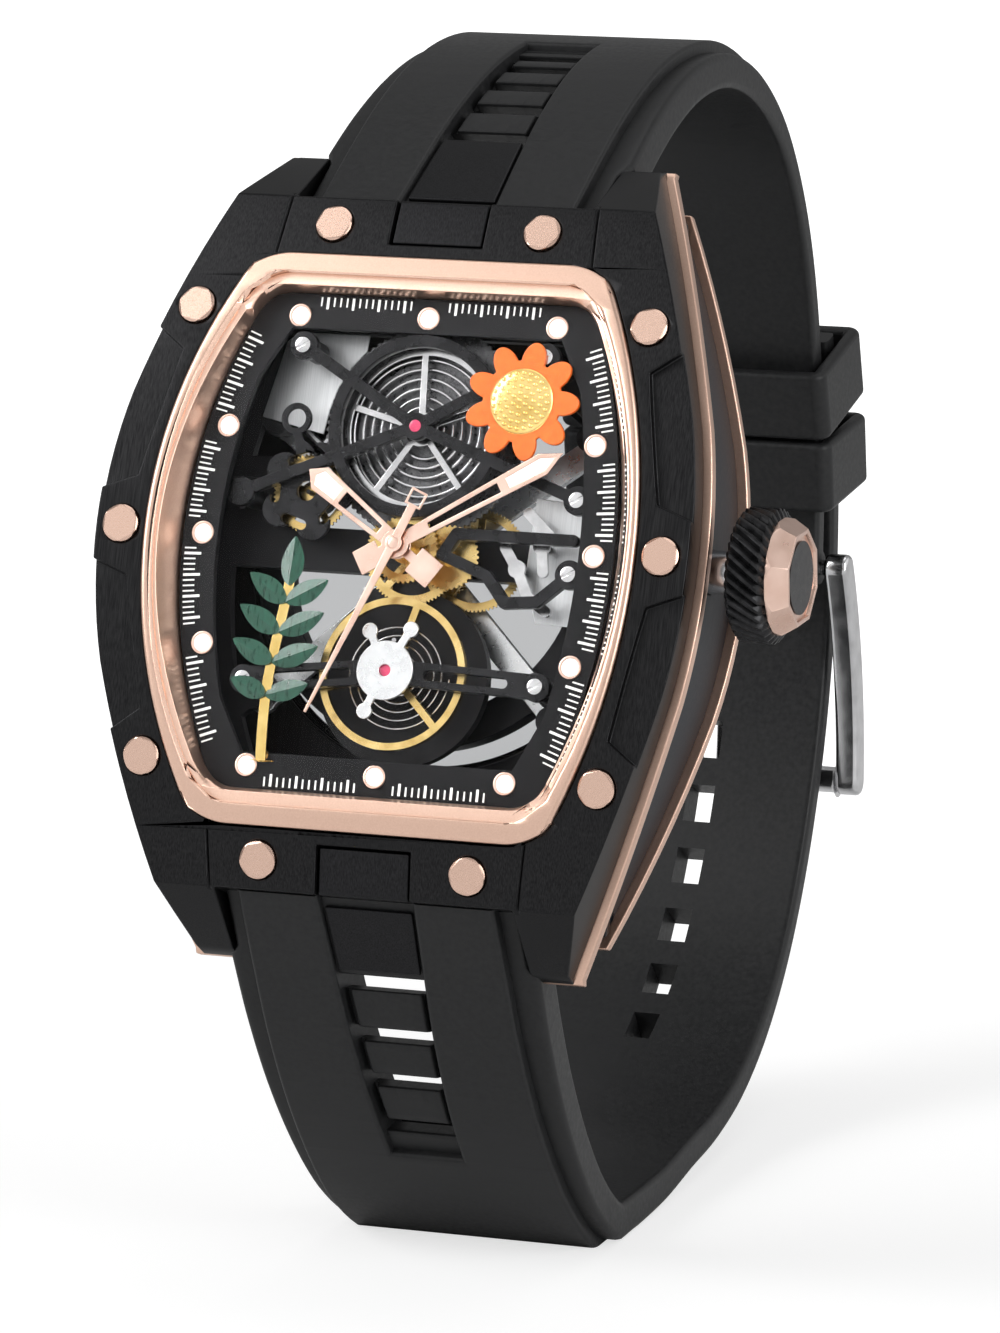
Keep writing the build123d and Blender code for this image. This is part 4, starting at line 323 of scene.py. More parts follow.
def strap_half(route, up, slots, channel_share, holes):
    """A strap half moulded flat, with its lanes, channel, rungs and holes, then bent along its route."""
    line = smooth_line(route)
    reach = [0.0]
    for start, stop in zip(line, line[1:]):
        reach.append(reach[-1] + (stop - start).length)
    length = reach[-1]
    slot_spans = [(share * length - slot_length / 2, share * length + slot_length / 2) for share in slots]
    hole_spans = [(share * length - hole_length / 2, share * length + hole_length / 2) for share in holes]
    channel_end = channel_share * length
    ladder_low, ladder_high = slot_spans[0][0] - ladder_margin, slot_spans[-1][1] + ladder_margin
    columns = [0.0, hole_half, hole_half + wall_step, channel_half / 2, channel_half * channel_column_share]
    columns += [lane_half * lane_column_share, head_half - rim_column]
    columns += rounding_at(channel_half, lane_radius, 1) + rounding_at(lane_half, lane_radius, -1)
    columns += rounding_at(rung_half, rung_radius, -1)
    columns += [head_half - edge_radius * part for part in edge_shares]
    columns = sorted({round(side * place, 4) for place in columns for side in (1, -1)})
    rows = [length * step / round(length / row_pitch) for step in range(round(length / row_pitch) + 1)]
    marks = rounding_at(channel_end, lane_radius, 1)
    marks += [ladder_low, ladder_low + wall_step, ladder_high, ladder_high - wall_step]
    for low, high in slot_spans:
        marks += [low - rung_radius * part for part in rung_shares]
        marks += [high + rung_radius * part for part in rung_shares]
    for low, high in hole_spans:
        marks += [low - wall_step, low, high, high + wall_step]
    rows = [row for row in rows
            if min(abs(row - mark) for mark in marks) > row_clear or row in (0.0, length)]
    rows = sorted({round(row, 4) for row in rows + marks})

    def at(along):
        """The point and the inward direction at a distance along the strap."""
        along = min(max(along, 0.0), length)
        place = bisect.bisect_left(reach, along, 1, len(reach) - 1)
        part = (along - reach[place - 1]) / (reach[place] - reach[place - 1])
        point = line[place - 1].lerp(line[place], part)
        before = line[max(place - 2, 0)]
        after = line[min(place + 1, len(line) - 1)]
        run = (line[place] - before).lerp(after - line[place - 1], part).normalized()
        return point, Vector((run.y, -run.x))

    def top_depth(across, along):
        """Depth of the outer skin below the lanes' faces."""
        if across > lane_half + wall_run / 2:
            return lane_height + rounding(head_half - across, edge_radius)
        from_channel = max(across - channel_half, along - channel_end)
        if from_channel < -wall_run / 2:
            depth = channel_depth
            if slot_spans[0][1] < along < slot_spans[-1][0]:
                if across > rung_half + wall_run / 2:
                    return channel_depth + rung_gap
                depth += rounding(rung_half - across, rung_radius)
            for low, high in slot_spans:
                if low - rung_radius <= along <= high + rung_radius:
                    depth += rounding(max(low - along, along - high), rung_radius)
            return depth
        return rounding(from_channel, lane_radius) + rounding(lane_half - across, lane_radius)

    def low_depth(across, along):
        """Depth of the wrist side."""
        thick = head_thick + (tail_thick - head_thick) * min(1.0, along / length / thin_share)
        if across < channel_half - wall_run / 2 and ladder_low < along < ladder_high:
            return channel_depth + rung_thick
        return thick - rounding(head_half - across, edge_radius)

    edit = bmesh.new()
    bmesh.ops.create_grid(edit, x_segments=len(columns) - 1, y_segments=len(rows) - 1, size=1)
    for vert in edit.verts:
        column = round((vert.co.x + 1) / 2 * (len(columns) - 1))
        row = round((vert.co.y + 1) / 2 * (len(rows) - 1))
        vert.co = (columns[column], rows[row], 0)
    openings = [(channel_half, span) for span in slot_spans] + [(hole_half, span) for span in hole_spans]
    open_faces = []
    for face in edit.faces:
        middle = face.calc_center_median()
        if any(abs(middle.x) < half and low < middle.y < high for half, (low, high) in openings):
            open_faces.append(face)
    bmesh.ops.delete(edit, geom=open_faces, context="FACES")
    made = bmesh.ops.extrude_face_region(edit, geom=edit.faces[:])["geom"]
    top_skin = {item for item in made if isinstance(item, bmesh.types.BMVert)}
    for vert in edit.verts:
        flat_across, along = abs(vert.co.x), vert.co.y
        depth = top_depth(flat_across, along) if vert in top_skin else low_depth(flat_across, along)
        leaning = flat_across < channel_half + wall_run and ladder_low < along < ladder_high
        point, inward = at(along + (slot_lean * depth if leaning else 0.0))
        wide = head_half + (tail_half - head_half) * min(1.0, -point.y / tail_depth)
        lane = min(lane_half, wide - margin_least)
        if point.x < lug_end_v and point.y > -tail_depth / 2:
            wide = min(wide, lug_half)
        narrow_part = min(max((point.x - hidden_v) / (channel_narrow_v - hidden_v), 0.0), 1.0)
        channel = channel_half + (channel_narrow - channel_half) * narrow_part
        if flat_across <= channel_half:
            across = flat_across * channel / channel_half
        elif flat_across <= lane_half:
            across = channel + (flat_across - channel_half) * (lane - channel) / (lane_half - channel_half)
        else:
            across = lane + (flat_across - lane_half) * (wide - lane) / (head_half - lane_half)
        place = point + inward * depth
        vert.co = (math.copysign(across, vert.co.x), up * place.x, place.y)
    bmesh.ops.recalc_face_normals(edit, faces=edit.faces)
    size = Matrix.Diagonal((2 * lug_half, head_back_v - hidden_v, head_shelf_w - head_back_w, 1))
    middle = (0, up * (hidden_v + head_back_v) / 2, (head_back_w + head_shelf_w) / 2)
    block = bmesh.ops.create_cube(edit, size=1, matrix=Matrix.Translation(middle) @ size)
    block_edges = {edge for vert in block["verts"] for edge in vert.link_edges}
    bmesh.ops.bevel(edit, geom=list(block_edges), offset=edge_radius, offset_type="OFFSET", segments=3,
                    profile=0.5, affect="EDGES", material=-1)
    return edit


def into_strap(name, edit, node):
    """Stand a strap half on the watch, with its soft edges shaded smooth."""
    for face in edit.faces:
        face.smooth = True
    for edge in edit.edges:
        edge.smooth = edge.calc_face_angle(0) < strap_crease
    edit.transform(watch_place)
    if node == "strap_lower":
        cut = bmesh.ops.bisect_plane(edit, geom=edit.verts[:] + edit.edges[:] + edit.faces[:],
                                     plane_co=(0, 0, 0), plane_no=(0, 0, -1), clear_outer=True)["geom_cut"]
        bmesh.ops.holes_fill(edit, edges=[item for item in cut if isinstance(item, bmesh.types.BMEdge)])
    into_scene(name, edit, rubber, "strap_rubber", body_of[node], node)


lower = strap_half(low_route, -1, low_slots, low_channel_share, low_holes)
into_strap("strap_lower_rubber", lower, "strap_lower")
upper = strap_half(up_route, 1, up_slots, up_channel_share, ())
for side in (1, -1):
    eye_place = Matrix.Translation((side * (tail_half + eye_near) / 2, pin_v, pin_w))
    bmesh.ops.create_cone(upper, cap_ends=True, segments=32, radius1=eye_radius, radius2=eye_radius,
                          depth=tail_half - eye_near,
                          matrix=eye_place @ Matrix.Rotation(math.pi / 2, 4, "Y"))
into_strap("strap_upper_rubber", upper, "strap_upper")
rounded("keeper_fixed", 0.45, rubber, "strap_rubber", 4)
rounded("keeper_loose", 0.45, rubber, "strap_rubber", 4)

# Buckle: a polished steel frame bent from bar, with its pin driven through the strap's eyes.
# A forged tongue turns on the pin between the eyes and lies in a hole of the lower half.
rounded("buckle_frame", 0.35, steel, "buckle_steel", 3)
rounded("buckle_tongue", 0.25, steel, "buckle_steel", 3)

# Movement plates and bridges: black coated metal, cut through and bevelled, with matt plates below.
# Steel screws hold the bridges down, and rubies pressed into them carry the pivots.
plate_dark = finish_of("plate_dark", (0.010, 0.010, 0.011), (0.018, 0.018, 0.020), 0.4, (0.4, 0.5),
                       along_case, 260, 0.02, 0.0, 0.25)
bridge_black = finish_of("bridge_black", (0.012, 0.012, 0.013), (0.022, 0.022, 0.024), 0.6, (0.24, 0.32),
                         every_way, 700, 0.0, 0.0, 0.4)
for node in ("main_plate", "movement_ring"):
    rounded(node, 0, plate_dark, "plate_dark")
for node in ("barrel_bridge", "left_bridge", "right_bridge", "balance_bridge"):
    rounded(node, 0.05, bridge_black, "plate_dark")
silver_plate = finish_of("silver_plate", (0.72, 0.73, 0.74), (0.78, 0.79, 0.80), 1.0, (0.26, 0.3), every_way,
                         1500, 0.0)
rounded("rear_bridge", 0.08, silver_plate, "screw_steel")
rounded("regulator", 0.06, silver_plate, "screw_steel")
rounded("movement_screws", 0.03, steel, "screw_steel")
ruby = finish_of("ruby", (0.45, 0.02, 0.08), (0.75, 0.06, 0.16), 0.0, (0.05, 0.1), every_way, 800, 0.02, 1.0)
rounded("jewels", 0.04, ruby, "ruby")

# Silver fields: two thin satin plates screwed down on the arms of the main plate.
# They are stamped from sheet, with their corners cut and their edges bevelled.
field_top, field_depth, field_bevel = -5.85, 0.12, 0.05
barrel_middle = Vector((0, 8.4))
barrel_beside = Vector((-7.75, 0))
left_field = [(-5.3, 15.1), (-10.6, 15.1), (-11.4, 14.4), (-12.6, 9.0), (-7.9, 8.0)]
left_field += [barrel_middle + Matrix.Rotation(math.radians(-turn), 2) @ barrel_beside
               for turn in (10, 22, 34, 46)]
right_field = [(8.3, 4.4), (13.6, 4.0), (13.8, -3.4), (12.6, -4.4), (9.2, -4.2), (8.1, -1.0)]
silver_satin = finish_of("silver_satin", (0.62, 0.63, 0.64), (0.74, 0.75, 0.76), 1.0, (0.3, 0.4), along_case,
                         300, 0.05)
for name, outline in (("silver_field_left", left_field), ("silver_field_right", right_field)):
    edit = bmesh.new()
    plan = edit.faces.new([edit.verts.new((u, v, field_top)) for u, v in outline])
    made = bmesh.ops.extrude_face_region(edit, geom=[plan])["geom"]
    bmesh.ops.translate(edit, verts=[item for item in made if isinstance(item, bmesh.types.BMVert)],
                        vec=(0, 0, -field_depth))
    bmesh.ops.recalc_face_normals(edit, faces=edit.faces)
    bmesh.ops.bevel(edit, geom=edit.edges[:], offset=field_bevel, offset_type="OFFSET", segments=2,
                    profile=0.5, affect="EDGES", material=-1)
    edit.transform(watch_place)
    into_scene(name, edit, silver_satin, "screw_steel", body_of["main_plate"])

# Going train: brass wheels on steel pinions, steel springs, and a gold balance with three spokes.
# The wheels are cut and polished, and the barrel's steel drum is closed by a spoked cover.
brass = finish_of("brass", (0.68, 0.47, 0.17), (0.86, 0.64, 0.28), 1.0, (0.18, 0.3), every_way, 700, 0.04)
for node in ("centre_wheel", "hour_wheel", "minute_wheel", "third_wheel", "fourth_wheel", "reduction_wheel",
             "balance_wheel"):
    rounded(node, 0, brass, "brass_wheel")
for node in ("mainspring", "escape_wheel", "pallet_fork", "hairspring", "keyless_levers"):
    rounded(node, 0, steel, "spring_steel")
barrel_steel = finish_of("barrel_steel", (0.10, 0.10, 0.105), (0.16, 0.16, 0.165), 1.0, (0.25, 0.35),
                         every_way, 4000, 0.02)
rounded("barrel_drum", 0, barrel_steel, "spring_steel")
rounded("barrel_cover", 0.05, steel, "spring_steel")
rounded("crown_tube", 0.05, steel, "screw_steel")
rounded("winding_stem", 0.05, steel, "screw_steel")
rounded("rotor_weight", 0.1, back_metal, "rotor_dark")

# Dial frame: the rose frame round the crystal, a sloping rose ring inside it, and a black chapter ring.
# The ring carries a printed white comb of minutes and twelve lume studs in rose rims.
rounded("dial_frame", 0.12, rose_metal, "rose_metal", corner=1.0)
rounded("inner_ring", 0.05, rose_metal, "rose_metal", corner=1.0)
ring_black = finish_of("ring_black", (0.006, 0.006, 0.007), (0.013, 0.013, 0.014), 0.3, (0.42, 0.55),
                       along_case, 300, 0.06, 0.0, 0.2)
rose_polish = finish_of("rose_polish", (0.78, 0.53, 0.43), (0.88, 0.64, 0.54), 1.0, (0.26, 0.32), every_way,
                        500, 0.02)
lume = finish_of("lume", (0.80, 0.82, 0.80), (0.90, 0.91, 0.89), 0.0, (0.5, 0.6), every_way, 3000, 0.05)
rounded("chapter_ring", 0.04, ring_black, "ring_black")
rounded("marker_rims", 0.04, rose_polish, "rose_hand")
rounded("marker_lume", 0.05, lume, "lume_white")

ring_radius, ring_top = 122.0, -1.9
side_reach, side_corner_u, side_corner_v = 15.8, 12.4, 16.3
side_bulge = side_reach - side_corner_u
side_radius = (side_corner_v ** 2 + side_bulge ** 2) / (2 * side_bulge)
track_margin, tick_length, tick_long = 0.28, 0.85, 1.25
tick_half, tick_long_half, tick_rise = 0.055, 0.09, 0.03
ticks_per_hour, ticks_per_minute = 20, 4
top_edge, marker_clear = 17.35, 0.95
stud_columns, stud_rows = (-9.45, 0.0, 9.45), (-15.7, -7.6, 0.0, 7.6, 15.7)


def add_tick(edit, u, v, out_u, out_v, minute):
    """One printed stroke of the comb, from its outer end inward."""
    length = tick_long if minute else tick_length
    half = tick_long_half if minute else tick_half
    middle_u, middle_v = u - out_u * length / 2, v - out_v * length / 2
    w = ring_top - ring_radius + math.sqrt(ring_radius ** 2 - middle_v ** 2)
    turn = Matrix.Rotation(math.atan2(out_v, out_u), 4, "Z")
    size = Matrix.Diagonal((length, 2 * half, 2 * tick_rise, 1))
    bmesh.ops.create_cube(edit, size=1, matrix=Matrix.Translation((middle_u, middle_v, w)) @ turn @ size)


edit = bmesh.new()
for end in (1, -1):
    for low_u, high_u in zip(stud_columns, stud_columns[1:]):
        pitch = (high_u - low_u) / ticks_per_hour
        for step in range(ticks_per_hour + 1):
            u = low_u + pitch * step
            if min(abs(u - stud) for stud in stud_columns) > marker_clear:
                add_tick(edit, u, end * (top_edge - track_margin), 0, end, step % ticks_per_minute == 0)
    for low_v, high_v in zip(stud_rows, stud_rows[1:]):
        pitch = (high_v - low_v) / ticks_per_hour
        for step in range(ticks_per_hour + 1):
            v = low_v + pitch * step
            if min(abs(v - stud) for stud in stud_rows) > marker_clear:
                turn = math.asin(v / side_radius)
                reach = side_radius - track_margin
                u = side_reach - side_radius + reach * math.cos(turn)
                add_tick(edit, end * u, reach * math.sin(turn), end * math.cos(turn), math.sin(turn),
                         step % ticks_per_minute == 0)
edit.transform(watch_place)
into_scene("minute_track", edit, lume, "lume_white", body_of["chapter_ring"])

# Hands: skeleton hands of satin rose metal with lume tips, and a long counterweighted seconds hand.
# They are stamped, pierced and bevelled, and pressed on their arbors.
for node in ("hour_hand", "minute_hand", "seconds_hand"):
    rounded(node, 0.06, rose_polish, "rose_hand")
for node in ("hour_lume", "minute_lume"):
    rounded(node, 0.03, lume, "lume_white")

# Flower: nine orange enamel petals on a plate that is pinned over the upper right of the dial.
# The enamel is fired smooth and its edges are rounded.
orange = finish_of("orange", (0.70, 0.115, 0.006), (0.78, 0.15, 0.010), 0.0, (0.3, 0.4), every_way,
                   2500, 0.03, 0.25)
along_blade = (3, 3, 0.5)
green = finish_of("green", (0.003, 0.036, 0.020), (0.008, 0.075, 0.044), 0.1, (0.25, 0.35), along_blade,
                  1500, 0.04, 0.3)
gold = finish_of("gold", (0.78, 0.53, 0.16), (0.92, 0.69, 0.28), 1.0, (0.14, 0.22), every_way, 600, 0.06)
rounded("flower_petals", 0.08, orange, "petal_orange")

# Flower head: a low gold dome struck with rings of seeds.
# It is riveted through the middle of the petals.
dome_u, dome_v, dome_radius, dome_base, dome_height = 7.75, 10.4, 2.3, -2.15, 0.42
seed_rings = ((0.0, 1), (0.5, 6), (1.0, 12), (1.5, 18), (1.93, 24))
seed_radius, seed_flat = 0.17, 0.6
edit = bmesh.new()
dome = bmesh.ops.create_uvsphere(edit, u_segments=64, v_segments=24, radius=dome_radius)["verts"]
bmesh.ops.scale(edit, verts=dome, vec=(1, 1, dome_height / dome_radius))
bmesh.ops.bisect_plane(edit, geom=edit.verts[:] + edit.edges[:] + edit.faces[:], plane_co=(0, 0, 0),
                       plane_no=(0, 0, -1), clear_outer=True)
bmesh.ops.holes_fill(edit, edges=[edge for edge in edit.edges if edge.is_boundary])
for ring_reach, count in seed_rings:
    rise = dome_height * math.sqrt(1 - (ring_reach / dome_radius) ** 2)
    for step in range(count):
        turn = 2 * math.pi * (step + ring_reach) / count
        seed = bmesh.ops.create_icosphere(edit, subdivisions=2, radius=seed_radius)["verts"]
        bmesh.ops.scale(edit, verts=seed, vec=(1, 1, seed_flat))
        seat = (ring_reach * math.cos(turn), ring_reach * math.sin(turn), rise)
        bmesh.ops.translate(edit, verts=seed, vec=seat)
for face in edit.faces:
    face.smooth = True
edit.transform(watch_place @ Matrix.Translation((dome_u, dome_v, dome_base)))
into_scene("flower_seed_head", edit, gold, "gold_leaf", body_of["flower_dome"], "flower_dome")

# Stem of the sprig: a gold wire pressed flat, of one width from its tip to its foot.
# The foot stands on a peg in the chapter ring.
stem_heights = (-15.4, -10.0, -6.2, -2.6)
stem_middles = (-8.3, -8.5, -8.1, -7.7)
stem_solid_halves = (0.95, 0.783, 0.617, 0.45)
stem_half, stem_under = 0.36, -2.72


def stem_value(height, values):
    """A value of the stem at a height, between the values at its four points."""
    step = min(max(bisect.bisect(stem_heights, height), 1), len(stem_heights) - 1)
    share = (height - stem_heights[step - 1]) / (stem_heights[step] - stem_heights[step - 1])
    return values[step - 1] + share * (values[step] - values[step - 1])


stem_piece = rounded("sprig_stem", 0.07, gold, "gold_leaf")
for vert in stem_piece.data.vertices:
    place = watch_place.inverted() @ vert.co
    if place.z > stem_under:
        middle = stem_value(place.y, stem_middles)
        place.x = middle + (place.x - middle) * stem_half / stem_value(place.y, stem_solid_halves)
        vert.co = watch_place @ place

# Leaves: green enamelled sheet blades folded along a midrib, in opposite pairs up the stem.
# Each is soldered to the stem by its root, and one stands at the tip.
leaf_level, leaf_sheet, leaf_fold = -2.32, 0.12, 0.2
leaf_taper, leaf_fullness, leaf_point, leaf_stagger = 0.85, 0.8, 0.04, 0.012
leaf_crease = math.radians(22)
leaf_rows, leaf_columns = 24, 6
leaves = ((-7.7, -3.2, 88, 3.4, 1.6), (-7.8, -4.4, 146, 3.4, 1.5), (-7.8, -4.4, 30, 3.4, 1.5),
          (-8.05, -6.5, 150, 3.5, 1.5), (-8.05, -6.5, 26, 3.5, 1.5), (-8.3, -8.6, 154, 3.3, 1.4),
          (-8.3, -8.6, 22, 3.5, 1.5), (-8.5, -10.9, 158, 2.8, 1.3), (-8.5, -10.9, 18, 3.2, 1.4))
edit = bmesh.new()
for number, (u, v, turn, length, width) in enumerate(leaves):
    blade = bmesh.ops.create_grid(edit, x_segments=leaf_rows, y_segments=leaf_columns, size=1)["verts"]
    for vert in blade:
        share, side = (vert.co.x + 1) / 2, vert.co.y
        swell = math.sin(math.pi * share ** leaf_taper) ** leaf_fullness if 0 < share < 1 else 0.0
        vert.co = (share * length, side * width / 2 * (swell + leaf_point),
                   leaf_level - leaf_fold * abs(side) * swell - leaf_stagger * number)
    spin_to = Matrix.Translation((u, v, 0)) @ Matrix.Rotation(math.radians(turn), 4, "Z")
    bmesh.ops.transform(edit, matrix=spin_to, verts=blade)
bmesh.ops.recalc_face_normals(edit, faces=edit.faces)
if sum(face.normal.z for face in edit.faces) < 0:
    bmesh.ops.reverse_faces(edit, faces=edit.faces)
bmesh.ops.solidify(edit, geom=edit.faces[:], thickness=leaf_sheet)
for face in edit.faces:
    face.smooth = True
for edge in edit.edges:
    edge.smooth = edge.calc_face_angle(0) < leaf_crease
edit.transform(watch_place)
into_scene("sprig_leaf_blades", edit, green, "leaf_green", body_of["sprig_leaves"], "sprig_leaves")


# Crystals: a curved clear front glass coated against glare, and a flat smoked glass in the back.
# Both are ground and polished, and pressed into their frames.
def clear_glass(name, tint):
    """Coated glass of a tint that lets the light through to what lies behind it."""
    material, tree, shader = new_material(name)
    shader.inputs["Base Color"].default_value = (*tint, 1)
    shader.inputs["Transmission Weight"].default_value = 1.0
    shader.inputs["IOR"].default_value = 1.1
    tree.links.new(spread(tree, grain_of(tree, every_way, 400), 0.0, 0.01), shader.inputs["Roughness"])
    through = tree.nodes.new("ShaderNodeBsdfTransparent")
    path = tree.nodes.new("ShaderNodeLightPath")
    mix = tree.nodes.new("ShaderNodeMixShader")
    tree.links.new(path.outputs["Is Shadow Ray"], mix.inputs["Fac"])
    tree.links.new(shader.outputs["BSDF"], mix.inputs[1])
    tree.links.new(through.outputs["BSDF"], mix.inputs[2])
    tree.links.new(mix.outputs["Shader"], tree.nodes["Material Output"].inputs["Surface"])
    return material


for node, tint in (("crystal", (1.0, 1.0, 1.0)), ("caseback_glass", (0.38, 0.385, 0.39))):
    mesh = frame["nodes"][node].data
    mesh.materials.clear()
    mesh.materials.append(clear_glass(node, tint))

# Crown: a black grip with slanted knurling, a faceted rose collar and a bare black cap.
# The grip is turned and knurled, and the collar is pressed on its end round the cap.
grip_start, grip_length, grip_radius = 23.8, 2.8, 4.6
grip_level = -5.4
grip_teeth, grip_depth, grip_twist = 36, 0.3, math.radians(26)
grip_steps, tooth_points = 8, 6
grip_chamfer, grip_crease = 0.25, math.radians(40)
cap_radius, cap_reach = 2.5, 1.35
grip_place = Matrix.Translation((grip_start, 0, grip_level)) @ Matrix.Rotation(math.pi / 2, 4, "Y")
crown_place = watch_place @ grip_place
knurl_black = finish_of("knurl_black", (0.010, 0.010, 0.011), (0.030, 0.030, 0.032), 0.7, (0.25, 0.38),
                        every_way, 1500, 0.08)
edit = bmesh.new()
bmesh.ops.create_circle(edit, segments=grip_teeth * tooth_points, radius=grip_radius)
for vert in edit.verts:
    ridge = 0.5 + 0.5 * math.cos(grip_teeth * math.atan2(vert.co.y, vert.co.x))
    vert.co *= 1 - grip_depth / grip_radius * (1 - ridge) ** 2
near_ring = list(edit.edges)
ring = near_ring
for step in range(grip_steps):
    made = bmesh.ops.extrude_edge_only(edit, edges=ring)["geom"]
    ring = [item for item in made if isinstance(item, bmesh.types.BMEdge)]
    corners = [item for item in made if isinstance(item, bmesh.types.BMVert)]
    bmesh.ops.translate(edit, verts=corners, vec=(0, 0, grip_length / grip_steps))
    bmesh.ops.rotate(edit, verts=corners, cent=(0, 0, 0),
                     matrix=Matrix.Rotation(grip_twist / grip_steps, 3, "Z"))
far_ring = ring
rim_scale = 1 - 2 * grip_chamfer / grip_radius
for ring in (near_ring, far_ring):
    corners = list({vert for edge in ring for vert in edge.verts})
    bmesh.ops.scale(edit, verts=corners, vec=(rim_scale, rim_scale, 1))
bmesh.ops.edgeloop_fill(edit, edges=near_ring)
bmesh.ops.edgeloop_fill(edit, edges=far_ring)
bmesh.ops.create_cone(edit, cap_ends=True, segments=96, radius1=cap_radius, radius2=cap_radius,
                      depth=cap_reach, matrix=Matrix.Translation((0, 0, grip_length + cap_reach / 2)))
bmesh.ops.recalc_face_normals(edit, faces=edit.faces)
for face in edit.faces:
    face.smooth = True
for edge in edit.edges:
    edge.smooth = edge.calc_face_angle(0) < grip_crease
edit.transform(crown_place)
into_scene("crown_grip_knurled", edit, knurl_black, "bezel_black", body_of["crown_grip"], "crown_grip")
collar_radius, collar_length, collar_facets = 4.0, 1.45, 8
collar_lean, collar_reach, collar_seat = math.radians(60), 3.72, 0.4
collar_lip, collar_sink, collar_step = 0.3, 0.22, 0.03
collar_chamfer, collar_edge, collar_crease = 0.55, 0.05, math.radians(15)
edit = bmesh.new()
bmesh.ops.create_cone(edit, cap_ends=True, segments=96, radius1=collar_radius, radius2=collar_radius,
                      depth=collar_length, matrix=Matrix.Translation((0, 0, collar_length / 2)))
front = [edge for edge in edit.edges if all(vert.co.z > collar_length / 2 for vert in edge.verts)]
bmesh.ops.bevel(edit, geom=front, offset=collar_chamfer, offset_type="OFFSET", segments=1, profile=0.5,
                affect="EDGES", material=-1)
for step in range(collar_facets):
    around = 2 * math.pi * (step + 0.5) / collar_facets
    slope = Vector((math.cos(around) * math.sin(collar_lean), math.sin(around) * math.sin(collar_lean),
                    math.cos(collar_lean)))
    start = Vector((math.cos(around) * collar_reach, math.sin(around) * collar_reach, collar_seat))
    cut = bmesh.ops.bisect_plane(edit, geom=edit.verts[:] + edit.edges[:] + edit.faces[:], plane_co=start,
                                 plane_no=slope, clear_outer=True)["geom_cut"]
    bmesh.ops.contextual_create(edit, geom=[item for item in cut if isinstance(item, bmesh.types.BMEdge)])
front_face = max(edit.faces, key=lambda face: face.calc_center_median().z)
bmesh.ops.inset_region(edit, faces=[front_face], thickness=collar_lip)
bmesh.ops.inset_region(edit, faces=[front_face], thickness=collar_step, depth=-collar_sink)
sharp = [edge for edge in edit.edges if edge.calc_face_angle(0) > collar_crease]
bmesh.ops.bevel(edit, geom=sharp, offset=collar_edge, offset_type="OFFSET", segments=2, profile=0.5,
                affect="EDGES", material=-1, clamp_overlap=True)
for face in edit.faces:
    face.smooth = True
edit.transform(crown_place @ Matrix.Translation((0, 0, grip_length)))
into_scene("crown_collar_faceted", edit, rose_polish, "rose_metal", body_of["crown_collar"], "crown_collar")

# Studio: a pale floor that fades into a white backdrop, soft lamps, and the photograph's camera.
# The floor keeps the object's shadow, and metal mirrors a brighter sky above and to the crown's side.
floor_material, floor_tree, floor_shader = new_material("floor")
floor_shader.inputs["Base Color"].default_value = (0.9, 0.9, 0.9, 1)
floor_shader.inputs["Roughness"].default_value = 0.9
floor_glow = floor_tree.nodes.new("ShaderNodeEmission")
floor_glow.inputs["Strength"].default_value = 1.35
floor_place = floor_tree.nodes.new("ShaderNodeTexCoord")
floor_reach = floor_tree.nodes.new("ShaderNodeVectorMath")
floor_reach.operation = "LENGTH"
floor_fade = floor_tree.nodes.new("ShaderNodeMapRange")
floor_fade.inputs["From Min"].default_value = 0.07
floor_fade.inputs["From Max"].default_value = 0.2
floor_fade.inputs["To Min"].default_value = 0.5
floor_fade.inputs["To Max"].default_value = 1.0
floor_path = floor_tree.nodes.new("ShaderNodeLightPath")
floor_seen = floor_tree.nodes.new("ShaderNodeMath")
floor_seen.operation = "ADD"
floor_seen.use_clamp = True
floor_part = floor_tree.nodes.new("ShaderNodeMath")
floor_part.operation = "MULTIPLY"
floor_mix = floor_tree.nodes.new("ShaderNodeMixShader")
floor_tree.links.new(floor_place.outputs["Object"], floor_reach.inputs[0])
floor_tree.links.new(floor_reach.outputs["Value"], floor_fade.inputs["Value"])
floor_tree.links.new(floor_path.outputs["Is Camera Ray"], floor_seen.inputs[0])
floor_tree.links.new(floor_path.outputs["Is Transmission Ray"], floor_seen.inputs[1])
floor_tree.links.new(floor_seen.outputs["Value"], floor_part.inputs[0])
floor_tree.links.new(floor_fade.outputs["Result"], floor_part.inputs[1])
floor_tree.links.new(floor_part.outputs["Value"], floor_mix.inputs["Fac"])
floor_tree.links.new(floor_shader.outputs["BSDF"], floor_mix.inputs[1])
floor_tree.links.new(floor_glow.outputs["Emission"], floor_mix.inputs[2])
floor_tree.links.new(floor_mix.outputs["Shader"], floor_tree.nodes["Material Output"].inputs["Surface"])
floor_mesh = bpy.data.meshes.new("floor")
edit = bmesh.new()
bmesh.ops.create_grid(edit, x_segments=8, y_segments=8, size=1.5)
edit.to_mesh(floor_mesh)
edit.free()
floor_mesh.materials.append(floor_material)
floor = bpy.data.objects.new("floor", floor_mesh)
scene.collection.objects.link(floor)

